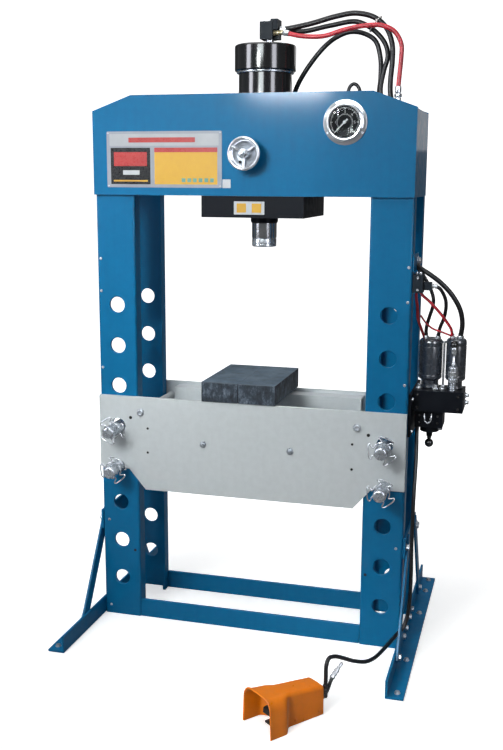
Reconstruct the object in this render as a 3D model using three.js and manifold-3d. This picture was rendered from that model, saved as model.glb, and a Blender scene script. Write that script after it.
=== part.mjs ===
// Hydraulic shop press with a sliding cylinder carriage, a pinned height-adjustable table,
// an air-hydraulic pump and a foot pedal.
// Millimetres, +X to the operator's right, +Y to the back, +Z up. The origin is on the floor,
// under the middle of the front base bar. Pieces are laid out from the middle between the
// uprights, and the whole group is then moved back by BAR_Y.
import * as THREE from "three";
import { mergeVertices } from "three/addons/utils/BufferGeometryUtils.js";
import Module from "manifold-3d";

const wasm = await Module();
wasm.setup();

// ---- shared dimensions ----
const HALF_WIDTH = 1020 / 2; // over the uprights, side to side
const HALF_DEPTH = 280 / 2; // over the uprights, front to back
const COLUMN_W = 132; // one upright, side to side
const COLUMN_IN = HALF_WIDTH - COLUMN_W; // inner side of an upright
const CHANNEL_T = 10; // channel web and flange thickness
const GAP = 0.3; // clearance left between touching pieces
const FIT = 0.4; // clearance of the barrel and gland in the carriage, and of the shaft collar
const OVER = 1; // how far a cutter or a joined part runs past a surface
const PLATE_IN = HALF_DEPTH + GAP; // inner face of the head and table plates
const PLATE_OUT = HALF_DEPTH + 12;
const HEAD_BOTTOM = 1430;
const RAIL_TOP = 1446;
const HOLE_R = 26;
const PIN_X = HALF_WIDTH - COLUMN_W / 2;
const PIN_R = 21;
const LOWER_ROW = 3; // hole rows that hold the pins, counted up from 0
const UPPER_ROW = 4;
const TABLE_TOP = 776;
const BAR_Y = 131; // middle of each base bar, from the middle of the uprights
const CYLINDER_X = 14; // how far the cylinder stands right of the middle
const CYLINDER = [CYLINDER_X, 0];
const PINION_Z = 1557;
const GAUGE = [299, 1647]; // x, z
const GAUGE_BODY_R = 50;

const rowZ = (row) => 137 + row * 134.3;
const pinZ = (row) => rowZ(row) - (HOLE_R - PIN_R - GAP); // pins rest low in their holes

const SIDES = [[-1, "left"], [1, "right"]];
const FACES = [[-1, "front"], [1, "rear"]];

// ---- spans: [low, high] pairs along one direction ----
const about = (centre, half) => [centre - half, centre + half];
const past = ([low, high]) => [low - OVER, high + OVER];
// A span measured outward from the middle, on the negative or the positive side.
const onSide = (side, near, far) => (side < 0 ? [-far, -near] : [near, far]);

// ---- solids ----
// Turns a closed three.js geometry into a manifold with its faces pointing outward.
function solid(geometry) {
  geometry.deleteAttribute("normal");
  geometry.deleteAttribute("uv");
  const merged = mergeVertices(geometry, 1e-4);
  const { position } = merged.attributes;
  const index = merged.index.array;
  const corner = (i) => new THREE.Vector3().fromBufferAttribute(position, i);
  const triangles = [];
  let volume = 0;
  for (let i = 0; i < index.length; i += 3) {
    const triangle = [...index.slice(i, i + 3)];
    if (new Set(triangle).size < 3) continue;
    triangles.push(triangle);
    const [first, second, third] = triangle.map(corner);
    volume += first.dot(second.cross(third));
  }
  if (volume < 0) triangles.forEach((triangle) => triangle.reverse());
  return new wasm.Manifold(
    new wasm.Mesh({
      numProp: 3,
      vertProperties: new Float32Array(position.array),
      triVerts: new Uint32Array(triangles.flat()),
    }),
  );
}

function box(...spans) {
  const geometry = new THREE.BoxGeometry(...spans.map(([low, high]) => high - low));
  geometry.translate(...spans.map(([low, high]) => (low + high) / 2));
  return solid(geometry);
}

// A body of revolution. The profile holds [radius, distance along the axis]; the centre gives
// the other two coordinates in alphabetical order.
function turned(axis, [first, second], profile, sides = 32) {
  const points = profile.map((point) => new THREE.Vector2(...point));
  const geometry = new THREE.LatheGeometry(points, sides);
  if (axis === "z") {
    geometry.rotateX(Math.PI / 2);
    geometry.translate(first, second, 0);
  } else if (axis === "y") {
    geometry.translate(first, 0, second);
  } else {
    geometry.rotateZ(-Math.PI / 2);
    geometry.translate(0, first, second);
  }
  return solid(geometry);
}

const rod = (axis, centre, radius, [from, to], sides) =>
  turned(axis, centre, [[0, from], [radius, from], [radius, to], [0, to]], sides);

function tube(axis, centre, [inner, outer], [from, to], sides) {
  const profile = [[inner, from], [outer, from], [outer, to], [inner, to], [inner, from]];
  return turned(axis, centre, profile, sides);
}

function ball(centre, radius) {
  const geometry = new THREE.SphereGeometry(radius, 16, 8);
  geometry.translate(...centre);
  return solid(geometry);
}

// A flat outline in the XY, XZ or YZ plane, given thickness over a span of the third direction.
function plate(plane, outline, [low, high]) {
  const shape = new THREE.Shape(outline.map((point) => new THREE.Vector2(...point)));
  const geometry = new THREE.ExtrudeGeometry(shape, { depth: high - low, bevelEnabled: false });
  if (plane === "XZ") {
    geometry.rotateX(Math.PI / 2);
    geometry.translate(0, high, 0);
  } else if (plane === "YZ") {
    geometry.applyMatrix4(new THREE.Matrix4().set(0, 0, 1, low, 1, 0, 0, 0, 0, 1, 0, 0, 0, 0, 0, 1));
  } else {
    geometry.translate(0, 0, low);
  }
  return solid(geometry);
}

// Completes an outline whose right half is given, by mirroring it left.
const symmetric = (half) => [...half, ...half.map(([x, other]) => [-x, other]).reverse()];

// A Y-axis ring.
function ringY([x, y, z], radius, wireRadius, wireSides, sides) {
  const geometry = new THREE.TorusGeometry(radius, wireRadius, wireSides, sides);
  geometry.rotateX(Math.PI / 2);
  geometry.translate(x, y, z);
  return solid(geometry);
}

function hose(points, radius, steps, sides = 8) {
  const path = new THREE.CatmullRomCurve3(points.map((point) => new THREE.Vector3(...point)));
  const section = [];
  for (let i = 0; i < sides; i++) {
    const angle = (2 * Math.PI * i) / sides;
    section.push(new THREE.Vector2(radius * Math.cos(angle), radius * Math.sin(angle)));
  }
  const options = { steps, extrudePath: path, bevelEnabled: false };
  return solid(new THREE.ExtrudeGeometry(new THREE.Shape(section), options));
}

const join = (...parts) => parts.reduce((whole, part) => whole.add(part));
const cut = (body, ...tools) => tools.reduce((rest, tool) => rest.subtract(tool), body);

// ---- finishes ----
const FINISHES = {
  frame_blue: { color: 0x1c639a, roughness: 0.42, metalness: 0.1 },
  table_grey: { color: 0xb9bec2, roughness: 0.5, metalness: 0.1 },
  satin_black: { color: 0x1b1d20, roughness: 0.45, metalness: 0.2 },
  gloss_black: { color: 0x0b0b0c, roughness: 0.15, metalness: 0.1 },
  block_steel: { color: 0x55626c, roughness: 0.55, metalness: 0.7 },
  bright_steel: { color: 0xc9cccf, roughness: 0.25, metalness: 1 },
  chrome: { color: 0xe3e5e8, roughness: 0.08, metalness: 1 },
  motor_grey: { color: 0x3a4048, roughness: 0.35, metalness: 0.5 },
  guard_orange: { color: 0xd4762a, roughness: 0.4, metalness: 0 },
  hose_black: { color: 0x101011, roughness: 0.6, metalness: 0 },
  needle_white: { color: 0xf0f0f0, roughness: 0.4, metalness: 0 },
};

const press = new THREE.Group();
press.name = "hydraulic_shop_press";
press.position.y = BAR_Y;

function put(name, finish, body) {
  const { vertProperties, triVerts } = body.getMesh();
  const geometry = new THREE.BufferGeometry();
  geometry.setAttribute("position", new THREE.BufferAttribute(new Float32Array(vertProperties), 3));
  geometry.setIndex(new THREE.BufferAttribute(new Uint32Array(triVerts), 1));
  geometry.computeVertexNormals();
  const mesh = new THREE.Mesh(geometry, new THREE.MeshStandardMaterial(FINISHES[finish]));
  mesh.name = name;
  press.add(mesh);
}

// ---- head ----
const HEAD_TOP = 1736;
const HEAD_SHOULDER = HEAD_TOP - 47; // foot of the corner chamfers
const HEAD_CHAMFER_X = 130;
const HEAD_OUTLINE = symmetric([
  [HALF_WIDTH, HEAD_BOTTOM],
  [HALF_WIDTH, HEAD_SHOULDER],
  [HALF_WIDTH - HEAD_CHAMFER_X, HEAD_TOP],
]);
const RAIL_HALF = COLUMN_IN - 8;
const RAIL_BOTTOM = 1438;
const RAIL_IN = 118;
const SHAFT_HOLE_R = 10;

// A head plate with the roller rail on its inner face.
const headPlate = (face) =>
  join(
    plate("XZ", HEAD_OUTLINE, onSide(face, PLATE_IN, PLATE_OUT)),
    box(about(0, RAIL_HALF), onSide(face, RAIL_IN, PLATE_IN + OVER), [RAIL_BOTTOM, RAIL_TOP]),
  );

const frontCut = past([-PLATE_OUT, -PLATE_IN]);
const headFront = cut(
  headPlate(-1),
  rod("y", GAUGE, GAUGE_BODY_R + 0.6, frontCut),
  rod("y", [0, PINION_Z], SHAFT_HOLE_R, frontCut, 20),
);
put("head_front_plate", "frame_blue", headFront);
put("head_rear_plate", "frame_blue", headPlate(1));

// The end plates take the place of the outer flanges, which are cut away at head height.
for (const [side, tag] of SIDES) {
  const xSpan = onSide(side, HALF_WIDTH - CHANNEL_T + GAP, HALF_WIDTH);
  const zSpan = [HEAD_BOTTOM, HEAD_SHOULDER - 3];
  put("head_end_plate_" + tag, "frame_blue", box(xSpan, about(0, HALF_DEPTH), zSpan));
}

// ---- uprights: two channels each, flanges facing one another ----
const COLUMN_TOP = 1680;
const FLANGE_DEPTH = 45;
const HOLE_COUNT = 8;

function upright(side, face) {
  const height = [0, COLUMN_TOP];
  const flangeY = onSide(face, HALF_DEPTH - FLANGE_DEPTH, HALF_DEPTH);
  const channel = join(
    box(
      onSide(side, COLUMN_IN, HALF_WIDTH),
      onSide(face, HALF_DEPTH - CHANNEL_T, HALF_DEPTH),
      height,
    ),
    box(onSide(side, COLUMN_IN, COLUMN_IN + CHANNEL_T), flangeY, height),
    box(onSide(side, HALF_WIDTH - CHANNEL_T, HALF_WIDTH), flangeY, height),
  );
  const headNotch = box(
    onSide(side, HALF_WIDTH - CHANNEL_T, HALF_WIDTH + OVER),
    past(flangeY),
    [HEAD_BOTTOM - GAP, COLUMN_TOP + OVER],
  );
  const holes = [];
  const holeY = onSide(face, HALF_DEPTH - 2 * CHANNEL_T, HALF_DEPTH + OVER);
  for (let row = 0; row < HOLE_COUNT; row++)
    holes.push(rod("y", [side * PIN_X, rowZ(row)], HOLE_R, holeY, 24));
  return cut(channel, headNotch, ...holes);
}

for (const [side, tag] of SIDES)
  for (const [face, way] of FACES)
    put(`upright_${tag}_${way}`, "frame_blue", upright(side, face));

// ---- tie plates, feet, braces and base bars ----
const SIDE_T = 8; // tie plate and foot thickness
const TIE_Z = [305, 372];
const FOOT_Y = about(0, 468);
const FOOT_H = 57;
const FOOT_W = 55;
const BRACE_OUT = HALF_WIDTH + 15;
const BRACE_HALF = 21; // half the width of the bar
const BRACE_PAST_TOP = 24;
const BAR_HALF_T = 6;
const BAR_H = 62;

// An upright flange against the frame and a sole that reaches outward.
const foot = (side) =>
  join(
    box(onSide(side, HALF_WIDTH + GAP, HALF_WIDTH + SIDE_T), FOOT_Y, [0, FOOT_H]),
    box(onSide(side, HALF_WIDTH + GAP, HALF_WIDTH + FOOT_W), FOOT_Y, [0, SIDE_T]),
  );

// A flat slanting bar from the tie plate down to the foot.
function brace(side, face) {
  const top = new THREE.Vector2(92, 345); // y, z on the centre line
  const bottom = new THREE.Vector2(288, 30);
  const along = bottom.clone().sub(top).normalize();
  const across = new THREE.Vector2(-along.y, along.x).multiplyScalar(BRACE_HALF);
  top.addScaledVector(along, -BRACE_PAST_TOP);
  const outline = [[top, -1], [bottom, -1], [bottom, 1], [top, 1]].map(([end, edge]) => {
    const point = end.clone().addScaledVector(across, edge);
    return [face * point.x, point.y];
  });
  return plate("YZ", outline, onSide(side, HALF_WIDTH + SIDE_T + GAP, BRACE_OUT));
}

for (const [side, tag] of SIDES) {
  const tieX = onSide(side, HALF_WIDTH + GAP, HALF_WIDTH + SIDE_T);
  put("tie_plate_" + tag, "frame_blue", box(tieX, about(0, HALF_DEPTH), TIE_Z));
  put("foot_" + tag, "frame_blue", foot(side));
  for (const [face, way] of FACES)
    put(`brace_${tag}_${way}`, "frame_blue", brace(side, face));
}
for (const [face, way] of FACES) {
  const bar = box(about(0, COLUMN_IN - GAP), about(face * BAR_Y, BAR_HALF_T), [0, BAR_H]);
  put("base_bar_" + way, "frame_blue", bar);
}

// ---- table ----
const TABLE_LOW = 461;
const TABLE_EAR = 529; // underside of the ends that rest on the pins
const TABLE_OUTLINE = symmetric([
  [349, TABLE_LOW],
  [407, TABLE_EAR],
  [HALF_WIDTH, TABLE_EAR],
  [HALF_WIDTH, TABLE_TOP],
]);
const STIFFENER_T = 6;
const STIFFENER_X = about(0, 330); // stops short of the spacers
const STIFFENER_Y = [84, HALF_DEPTH];
const STIFFENER_Z = [706, 766];
const SPACER_R = 15;
const SPACER_Z = 724;

// A plate with a round hole for each upper pin and an open-bottomed slot for each lower pin.
function tablePlate(face) {
  const thickness = onSide(face, PLATE_IN, PLATE_OUT);
  const cutY = past(thickness);
  const seatZ = pinZ(LOWER_ROW);
  const tools = SIDES.flatMap(([side]) => {
    const x = side * PIN_X;
    return [
      rod("y", [x, rowZ(UPPER_ROW)], HOLE_R, cutY, 24),
      rod("y", [x, seatZ], PIN_R + GAP, cutY, 28),
      box(about(x, PIN_R + GAP), cutY, [TABLE_EAR - 9, seatZ]),
    ];
  });
  return cut(plate("XZ", TABLE_OUTLINE, thickness), ...tools);
}

// A rectangular tube, open at both ends.
function stiffener() {
  const inside = ([low, high]) => [low + STIFFENER_T, high - STIFFENER_T];
  return cut(
    box(STIFFENER_X, STIFFENER_Y, STIFFENER_Z),
    box(past(STIFFENER_X), inside(STIFFENER_Y), inside(STIFFENER_Z)),
  );
}

for (const [face, way] of FACES) put(`table_${way}_plate`, "table_grey", tablePlate(face));
put("table_stiffener", "table_grey", stiffener());
for (const [tag, x] of [["left", -360], ["right", 358]]) {
  const spacer = rod("y", [x, SPACER_Z], SPACER_R, about(0, HALF_DEPTH));
  put("table_spacer_" + tag, "table_grey", spacer);
}

const BLOCK_Y = [-156, 174];
const BLOCK_Z = [TABLE_TOP + GAP, TABLE_TOP + GAP + 65];
for (const [tag, xSpan] of [["left", [-151, -29.3]], ["right", [-28.3, 94]]])
  put("press_block_" + tag, "block_steel", box(xSpan, BLOCK_Y, BLOCK_Z));

// ---- support pins and their clips ----
const PIN_FRONT = -242;
const PIN_BACK = 172;
const CLIP_Y = -203;
const CLIP_RING_R = 32;
const CLIP_WIRE_R = 2.5;
const CLIP_HOLE_R = 3.2;
const PIN_PROFILE = [
  [0, PIN_FRONT], [9, PIN_FRONT + 1], [15, PIN_FRONT + 5], [19, PIN_FRONT + 11],
  [PIN_R, PIN_FRONT + 20], [PIN_R, PIN_BACK - 6], [PIN_R - 6, PIN_BACK], [0, PIN_BACK],
];

// A round-nosed pin, cross-drilled for its clip.
const supportPin = (x, z) =>
  cut(
    turned("y", [x, z], PIN_PROFILE, 28),
    rod("z", [x, CLIP_Y], CLIP_HOLE_R, about(z, 40), 12),
  );

// A wire ring around the pin, with a straight wire through it.
const pinClip = (x, z) =>
  join(
    ringY([x, CLIP_Y, z], CLIP_RING_R, CLIP_WIRE_R, 6, 24),
    rod("z", [x, CLIP_Y], CLIP_WIRE_R, about(z, CLIP_RING_R - 1), 8),
  );

for (const [side, tag] of SIDES)
  for (const [row, level] of [[UPPER_ROW, "upper"], [LOWER_ROW, "lower"]]) {
    const place = [side * PIN_X, pinZ(row)];
    put(`support_pin_${tag}_${level}`, "bright_steel", supportPin(...place));
    put(`pin_clip_${tag}_${level}`, "bright_steel", pinClip(...place));
  }

// ---- carriage ----
const CARRIAGE_HALF = 163;
const CARRIAGE_BOTTOM = 1364;
const BARREL_SEAT = CARRIAGE_BOTTOM + 16;
const BARREL_R = 83.2;
const GLAND_NECK_R = 44;
const ROLLER_R = 24;
const AXLE_R = 8;
const ROLLER_X = about(CYLINDER_X, 129);
const ROLLER_Z = RAIL_TOP + GAP + ROLLER_R;
const LUG_HALF = 25;
const RACK_BOTTOM = 1518;
const RACK_FRONT = -132;
const LUG_TOP = RACK_BOTTOM - GAP;

// A block under the head; its two lugs carry the axles and reach forward under the rack.
function carriageBlock() {
  const block = box(
    about(CYLINDER_X, CARRIAGE_HALF),
    about(0, PLATE_OUT),
    [CARRIAGE_BOTTOM, HEAD_BOTTOM - GAP],
  );
  const lugs = ROLLER_X.flatMap((x) => [
    box(about(x, LUG_HALF), about(0, 60), [HEAD_BOTTOM - 2, LUG_TOP]),
    box(about(x, LUG_HALF), [RACK_FRONT, -59], [1500, LUG_TOP]),
  ]);
  return cut(
    join(block, ...lugs),
    rod("z", CYLINDER, BARREL_R + FIT, [BARREL_SEAT, 1530], 40),
    rod("z", CYLINDER, GLAND_NECK_R + FIT, [CARRIAGE_BOTTOM - OVER, BARREL_SEAT + 4], 40),
    ...ROLLER_X.map((x) => rod("y", [x, ROLLER_Z], AXLE_R + GAP, about(0, 70), 24)),
  );
}
put("carriage_block", "satin_black", carriageBlock());

// Two rollers on one axle: [radius, y].
const ROLLER_PROFILE = [
  [0, -137], [10, -137], [10, -135], [ROLLER_R, -135], [ROLLER_R, -119], [AXLE_R, -119],
  [AXLE_R, 119], [ROLLER_R, 119], [ROLLER_R, 135], [10, 135], [10, 137], [0, 137],
];
SIDES.forEach(([, tag], i) => {
  const rollers = turned("y", [ROLLER_X[i], ROLLER_Z], ROLLER_PROFILE, 24);
  put("roller_set_" + tag, "bright_steel", rollers);
});

// ---- rack and pinion: teeth are thinned for backlash ----
const MODULE = 2.5;
const PINION_TEETH = 16;
const PINION_R = (MODULE * PINION_TEETH) / 2; // at the pitch circle
const PRESSURE_ANGLE = (20 * Math.PI) / 180;
const TOOTH_PITCH = Math.PI * MODULE;
const TOOTH_HALF = 0.215 * TOOTH_PITCH; // half thickness at the pitch line
const ADDENDUM = 0.75 * MODULE;
const DEDENDUM = 1.05 * MODULE;

function rackOutline() {
  const [left, right] = about(CYLINDER_X, 140);
  const pitchZ = PINION_Z - PINION_R;
  const rootZ = pitchZ - DEDENDUM;
  const rootHalf = TOOTH_HALF + DEDENDUM * Math.tan(PRESSURE_ANGLE);
  const tipHalf = TOOTH_HALF - ADDENDUM * Math.tan(PRESSURE_ANGLE);
  const points = [[left, RACK_BOTTOM], [right, RACK_BOTTOM], [right, rootZ]];
  // A tooth space is centred on x = 0, so teeth stand at half pitches, taken right to left.
  for (let k = 17; k >= -16; k--) {
    const x = (k + 0.5) * TOOTH_PITCH;
    points.push(
      [x + rootHalf, rootZ],
      [x + tipHalf, pitchZ + ADDENDUM],
      [x - tipHalf, pitchZ + ADDENDUM],
      [x - rootHalf, rootZ],
    );
  }
  points.push([left, rootZ]);
  return points;
}
put("carriage_rack", "bright_steel", plate("XZ", rackOutline(), [RACK_FRONT, -114]));

// Involute pinion; a tooth points straight down into the rack space at x = 0.
function pinionOutline() {
  const baseR = PINION_R * Math.cos(PRESSURE_ANGLE);
  const involute = (radius) => {
    const angle = Math.acos(baseR / radius);
    return Math.tan(angle) - angle;
  };
  const baseAngle = TOOTH_HALF / PINION_R + involute(PINION_R);
  // One flank, root to tip: [radius, angle from the middle of the tooth].
  const flank = [
    [PINION_R - DEDENDUM, baseAngle + 0.02],
    ...[baseR, PINION_R, PINION_R + ADDENDUM].map((r) => [r, baseAngle - involute(r)]),
  ];
  const tooth = [...flank.map(([radius, angle]) => [radius, -angle]), ...flank.reverse()];
  const points = [];
  for (let i = 0; i < PINION_TEETH; i++) {
    const middle = -Math.PI / 2 + (i * 2 * Math.PI) / PINION_TEETH;
    for (const [radius, offset] of tooth) {
      const angle = middle + offset;
      points.push([radius * Math.cos(angle), PINION_Z + radius * Math.sin(angle)]);
    }
  }
  return points;
}

// ---- handwheel and its shaft ----
const SHAFT = [0, PINION_Z]; // x, z
const SHAFT_R = 9;
const SHAFT_FRONT = -216;
const SHAFT_PROFILE = [
  [0, SHAFT_FRONT], [7, SHAFT_FRONT], [SHAFT_R, SHAFT_FRONT + 2], [SHAFT_R, -120], [0, -120],
];
const WHEEL_Y = -196;
const HUB_PROFILE = [[0, -212], [11, -212], [15, -208], [17, -186], [17, -180], [0, -180]];
const SPOKE_COUNT = 3;

const pinionShaft = join(
  plate("XZ", pinionOutline(), [-131, -115]),
  turned("y", SHAFT, SHAFT_PROFILE, 20),
  tube("y", SHAFT, [8.5, 15], [-160, -PLATE_OUT - FIT], 20), // collar
);
put("handwheel_shaft", "bright_steel", pinionShaft);

// Tapered spoke; the first points straight down.
function wheelSpoke(k) {
  const geometry = new THREE.CylinderGeometry(4, 5.5, 34, 8);
  geometry.translate(0, 29, 0);
  geometry.rotateX(Math.PI / 2);
  geometry.rotateY(Math.PI - (k * 2 * Math.PI) / SPOKE_COUNT);
  geometry.translate(0, WHEEL_Y, PINION_Z);
  return solid(geometry);
}

function handwheel() {
  const rim = ringY([0, WHEEL_Y, PINION_Z], 46, 5, 8, 32);
  let wheel = join(rim, turned("y", SHAFT, HUB_PROFILE, 20));
  for (let k = 0; k < SPOKE_COUNT; k++) wheel = wheel.add(wheelSpoke(k));
  return cut(wheel, rod("y", SHAFT, SHAFT_R + GAP, [-220, -170], 20));
}
put("handwheel", "chrome", handwheel());

// ---- cylinder and ram; profiles are [radius, z] ----
const BORE_R = 67;
const ROD_R = 40;
const NOSE_R = 39.5;
const NOSE_BOTTOM = 1268;
const NOSE_TOP = 1295;
const PISTON_BOTTOM = 1790;
const PISTON_TOP = 1846;
const BARREL_TOP = 1850;
const CAP_TOP = 1890;
const CAP_SKIRT = 1811;
const GLAND_SHOULDER = BARREL_SEAT + FIT;
const PISTON_R = BORE_R - GAP;
const ROD_BORE_R = ROD_R + GAP;
const CAP_BORE_R = BARREL_R + GAP;
const onCylinder = (profile) => turned("z", CYLINDER, profile, 40);

const barrel = tube("z", CYLINDER, [BORE_R, BARREL_R], [BARREL_SEAT + GAP, BARREL_TOP], 40);
put("cylinder_barrel", "gloss_black", barrel);

const GLAND_PROFILE = [
  [ROD_BORE_R, 1346], [42, 1346], [GLAND_NECK_R, 1348], [GLAND_NECK_R, GLAND_SHOULDER],
  [PISTON_R, GLAND_SHOULDER], [PISTON_R, 1420], [ROD_BORE_R, 1420], [ROD_BORE_R, 1346],
];
put("cylinder_gland", "satin_black", onCylinder(GLAND_PROFILE));

const CAP_PROFILE = [
  [CAP_BORE_R, CAP_SKIRT], [94, CAP_SKIRT], [96, CAP_SKIRT + 2], [96, CAP_TOP - 3],
  [93, CAP_TOP], [6, CAP_TOP], [6, BARREL_TOP + GAP], [CAP_BORE_R, BARREL_TOP + GAP],
  [CAP_BORE_R, CAP_SKIRT],
];
put("cylinder_cap", "gloss_black", onCylinder(CAP_PROFILE));

const RAM_PROFILE = [
  [0, NOSE_TOP + GAP], [ROD_R, NOSE_TOP + GAP], [ROD_R, PISTON_BOTTOM],
  [PISTON_R, PISTON_BOTTOM], [PISTON_R, PISTON_TOP], [0, PISTON_TOP],
];
put("ram_rod", "bright_steel", onCylinder(RAM_PROFILE));

const NOSE_PROFILE = [
  [0, NOSE_BOTTOM], [NOSE_R - 3, NOSE_BOTTOM], [NOSE_R, NOSE_BOTTOM + 3],
  [NOSE_R, NOSE_TOP], [0, NOSE_TOP],
];
put("ram_nose", "bright_steel", onCylinder(NOSE_PROFILE));

const valveBlock = join(
  rod("z", [28, 0], 15, [CAP_TOP + GAP, 1907]),
  box([2, 42], [-28, 28], [1906, 1958]),
  box([30, 58], [-10, 27], [1906, 1965]),
);
put("valve_block", "satin_black", valveBlock);

// ---- pressure gauge ----
const PANEL_Y = -PLATE_OUT; // front face of the head
const BEZEL_R = 66;
// [radius, y]: the body behind the panel, then the bezel and the recessed dial.
const GAUGE_PROFILE = [
  [0, PANEL_Y + 26], [GAUGE_BODY_R, PANEL_Y + 26], [GAUGE_BODY_R, PANEL_Y - GAP],
  [BEZEL_R, PANEL_Y - GAP], [BEZEL_R, PANEL_Y - 3], [55, PANEL_Y - 4], [54, PANEL_Y - 17],
  [51, PANEL_Y - 18], [47, PANEL_Y - 18], [46, PANEL_Y - 8], [0, PANEL_Y - 8],
];
put("gauge_case", "bright_steel", turned("y", GAUGE, GAUGE_PROFILE, 36));

const NEEDLE_TURN = (-135 * Math.PI) / 180; // clockwise from straight up, seen from the front
const NEEDLE_OUTLINE = [[-3, -12], [3, -12], [1.2, 36], [-1.2, 36]]; // across, along

function gaugeNeedle() {
  const cos = Math.cos(NEEDLE_TURN);
  const sin = Math.sin(NEEDLE_TURN);
  const outline = NEEDLE_OUTLINE.map(([across, along]) => [
    GAUGE[0] + across * cos + along * sin,
    GAUGE[1] - across * sin + along * cos,
  ]);
  return join(
    plate("XZ", outline, [PANEL_Y - 13, PANEL_Y - 11]),
    rod("y", GAUGE, 5, [PANEL_Y - 14, PANEL_Y - 8 - GAP], 24),
  );
}
put("gauge_needle", "needle_white", gaugeNeedle());

// ---- air-hydraulic pump on the right upright ----
const PUMP_Y = -30;
const PUMP_X = 568;
const PUMP = [PUMP_X, PUMP_Y];
const LEVER = [638, -80]; // x, y
const SHELF_BOTTOM = 777;
const SHELF_TOP = 843;
const PUMP_STUB_BOTTOM = 684;
const POST_PROFILE = [
  [0, 842], [9, 842], [9, 872], [16, 872], [16, 884], [14, 884], [14, 920], [0, 920],
];
const KNOB_TOP = PUMP_STUB_BOTTOM - GAP;
const KNOB_PROFILE = [[0, 668], [5, 668], [7, 676], [7, KNOB_TOP], [0, KNOB_TOP]];
const LEVER_PROFILE = [[0, 925], [4, 925], [4, 958], [7.5, 962], [9, 980], [0, 980]];

const pumpManifold = join(
  box([HALF_WIDTH + GAP, HALF_WIDTH + 8.6], about(0, 128), [700, 833]), // back plate
  box([HALF_WIDTH + 8, 672], [-95, 15], [SHELF_BOTTOM, SHELF_TOP]), // shelf
  turned("z", LEVER, POST_PROFILE, 24), // post under the lever
);
put("pump_manifold", "satin_black", pumpManifold);

function airMotor(x, radius, top) {
  const bottom = SHELF_TOP + GAP;
  const profile = [
    [0, bottom], [radius - 9, bottom], [radius - 9, 872], [radius, 876],
    [radius, top - 12], [radius - 4, top - 4], [radius - 14, top], [0, top],
  ];
  return turned("z", [x, PUMP_Y], profile, 28);
}
put("air_motor_left", "motor_grey", airMotor(564, 33, 1000));
put("air_motor_right", "motor_grey", airMotor(641, 31, 1004));

const pumpBody = join(
  box(about(PUMP_X, 43), [-75, 12], [722, SHELF_BOTTOM - GAP]),
  rod("z", PUMP, 30, [702, 723]),
  rod("z", PUMP, 9, [PUMP_STUB_BOTTOM, 703], 24),
);
put("pump_body", "satin_black", pumpBody);

const reliefKnob = join(turned("z", PUMP, KNOB_PROFILE, 24), ball([...PUMP, 662], 14));
put("relief_knob", "gloss_black", reliefKnob);

const controlLever = join(
  turned("z", LEVER, LEVER_PROFILE, 24),
  ball([...LEVER, 928], 7.7),
  ball([...LEVER, 988], 12),
);
put("control_lever", "chrome", controlLever);

const sideValve = join(
  box([HALF_WIDTH + GAP, 541], about(-110, 22), about(1175, 27)),
  box([540, 566], about(-110, 12), about(1168, 12)),
);
put("side_valve_block", "motor_grey", sideValve);

// ---- foot pedal: laid out facing -Y, then turned and moved into place ----
const PEDAL_PLACE = [263.4, -659.1, 0];
const PEDAL_TURN = (-0.6821 * 180) / Math.PI; // degrees about Z
const PIVOT = [35, 50]; // y, z
const PIVOT_R = 4;
const GUARD_T = 2.5;
const placePedal = (body) => body.rotate([0, 0, PEDAL_TURN]).translate(PEDAL_PLACE);

const pedalBase = cut(
  join(
    box(about(0, 34.5), [-30, 103], [0, 4]),
    box(about(0, 24), [52, 98], [3, 46]),
    ...SIDES.map(([side]) => box(onSide(side, 29, 33.5), [24, 46], [3, 60])), // pivot cheeks
  ),
  rod("x", PIVOT, PIVOT_R + GAP, about(0, 70), 20),
);
put("pedal_base", "satin_black", placePedal(pedalBase));

// A narrow body that opens out into a wide mouth with leaning sides. The inset shape runs out
// past the front and the bottom, to leave them open.
function guardShape(inset) {
  const front = -101 - 9 * inset;
  const bottom = -9 * inset;
  const bodyHalf = 38 - inset;
  const mouthHalf = 67 - inset;
  const back = 107 - inset;
  const shift = 0.4 * inset;
  const mouthPlan = symmetric([
    [mouthHalf, front], [mouthHalf, -46 - shift], [bodyHalf, -20 - shift],
  ]);
  const mouthFront = symmetric([[mouthHalf, bottom], [50 - inset, 112]]);
  const mouth = plate("XY", mouthPlan, [bottom, 130]).intersect(
    plate("XZ", mouthFront, [-140, 20]),
  );
  const body = box(about(0, bodyHalf), [-46 - 9 * inset, back], [bottom, 130]);
  const sideView = [
    [front, bottom], [back, bottom], [back, 78 - inset], [99 - inset, 86 - inset],
    [-60, 104 - inset], [-101, 110 - inset], [front, 110 + 0.3 * inset],
  ];
  // Without an inset the last two points fall together.
  if (inset === 0) sideView.pop();
  return join(mouth, body).intersect(plate("YZ", sideView, about(0, 90)));
}
put("pedal_guard", "guard_orange", placePedal(cut(guardShape(0), guardShape(GUARD_T))));

// Side view of the tread: y, z.
const TREAD_OUTLINE = [
  [-48, 39], [-42, 37], [28, 44], [35, 43], [41, 50], [35, 57], [28, 55], [-48, 47],
];
const footPedal = join(
  plate("YZ", TREAD_OUTLINE, about(0, 26)),
  rod("x", PIVOT, PIVOT_R, about(0, 34.8), 20),
);
put("foot_pedal", "satin_black", placePedal(footPedal));

// ---- hoses: centre-line points, x, y, z ----
// From the valve block over and down to the head.
const TOP_HOSE = [
  [59.2, 0, 1936], [84, 0, 1938], [154, 2, 1950], [237, 4, 1970], [295, 7, 1977],
  [352, 9, 1963], [389, 11, 1931], [407, 13, 1885], [409, 15, 1839], [405, 15, 1780],
  [406, 14, 1740], [424, 6, 1660], [438, 0, 1600],
];
// From the end of the top hose down to the right air motor.
const SIDE_HOSE = [
  [438, 0, 1598], [440, -2, 1500], [446, -10, 1340], [470, -30, 1262], [520, -60, 1214],
  [575, -58, 1170], [620, -44, 1100], [640, -32, 1040], [641, -30, 1004.5],
];
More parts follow.
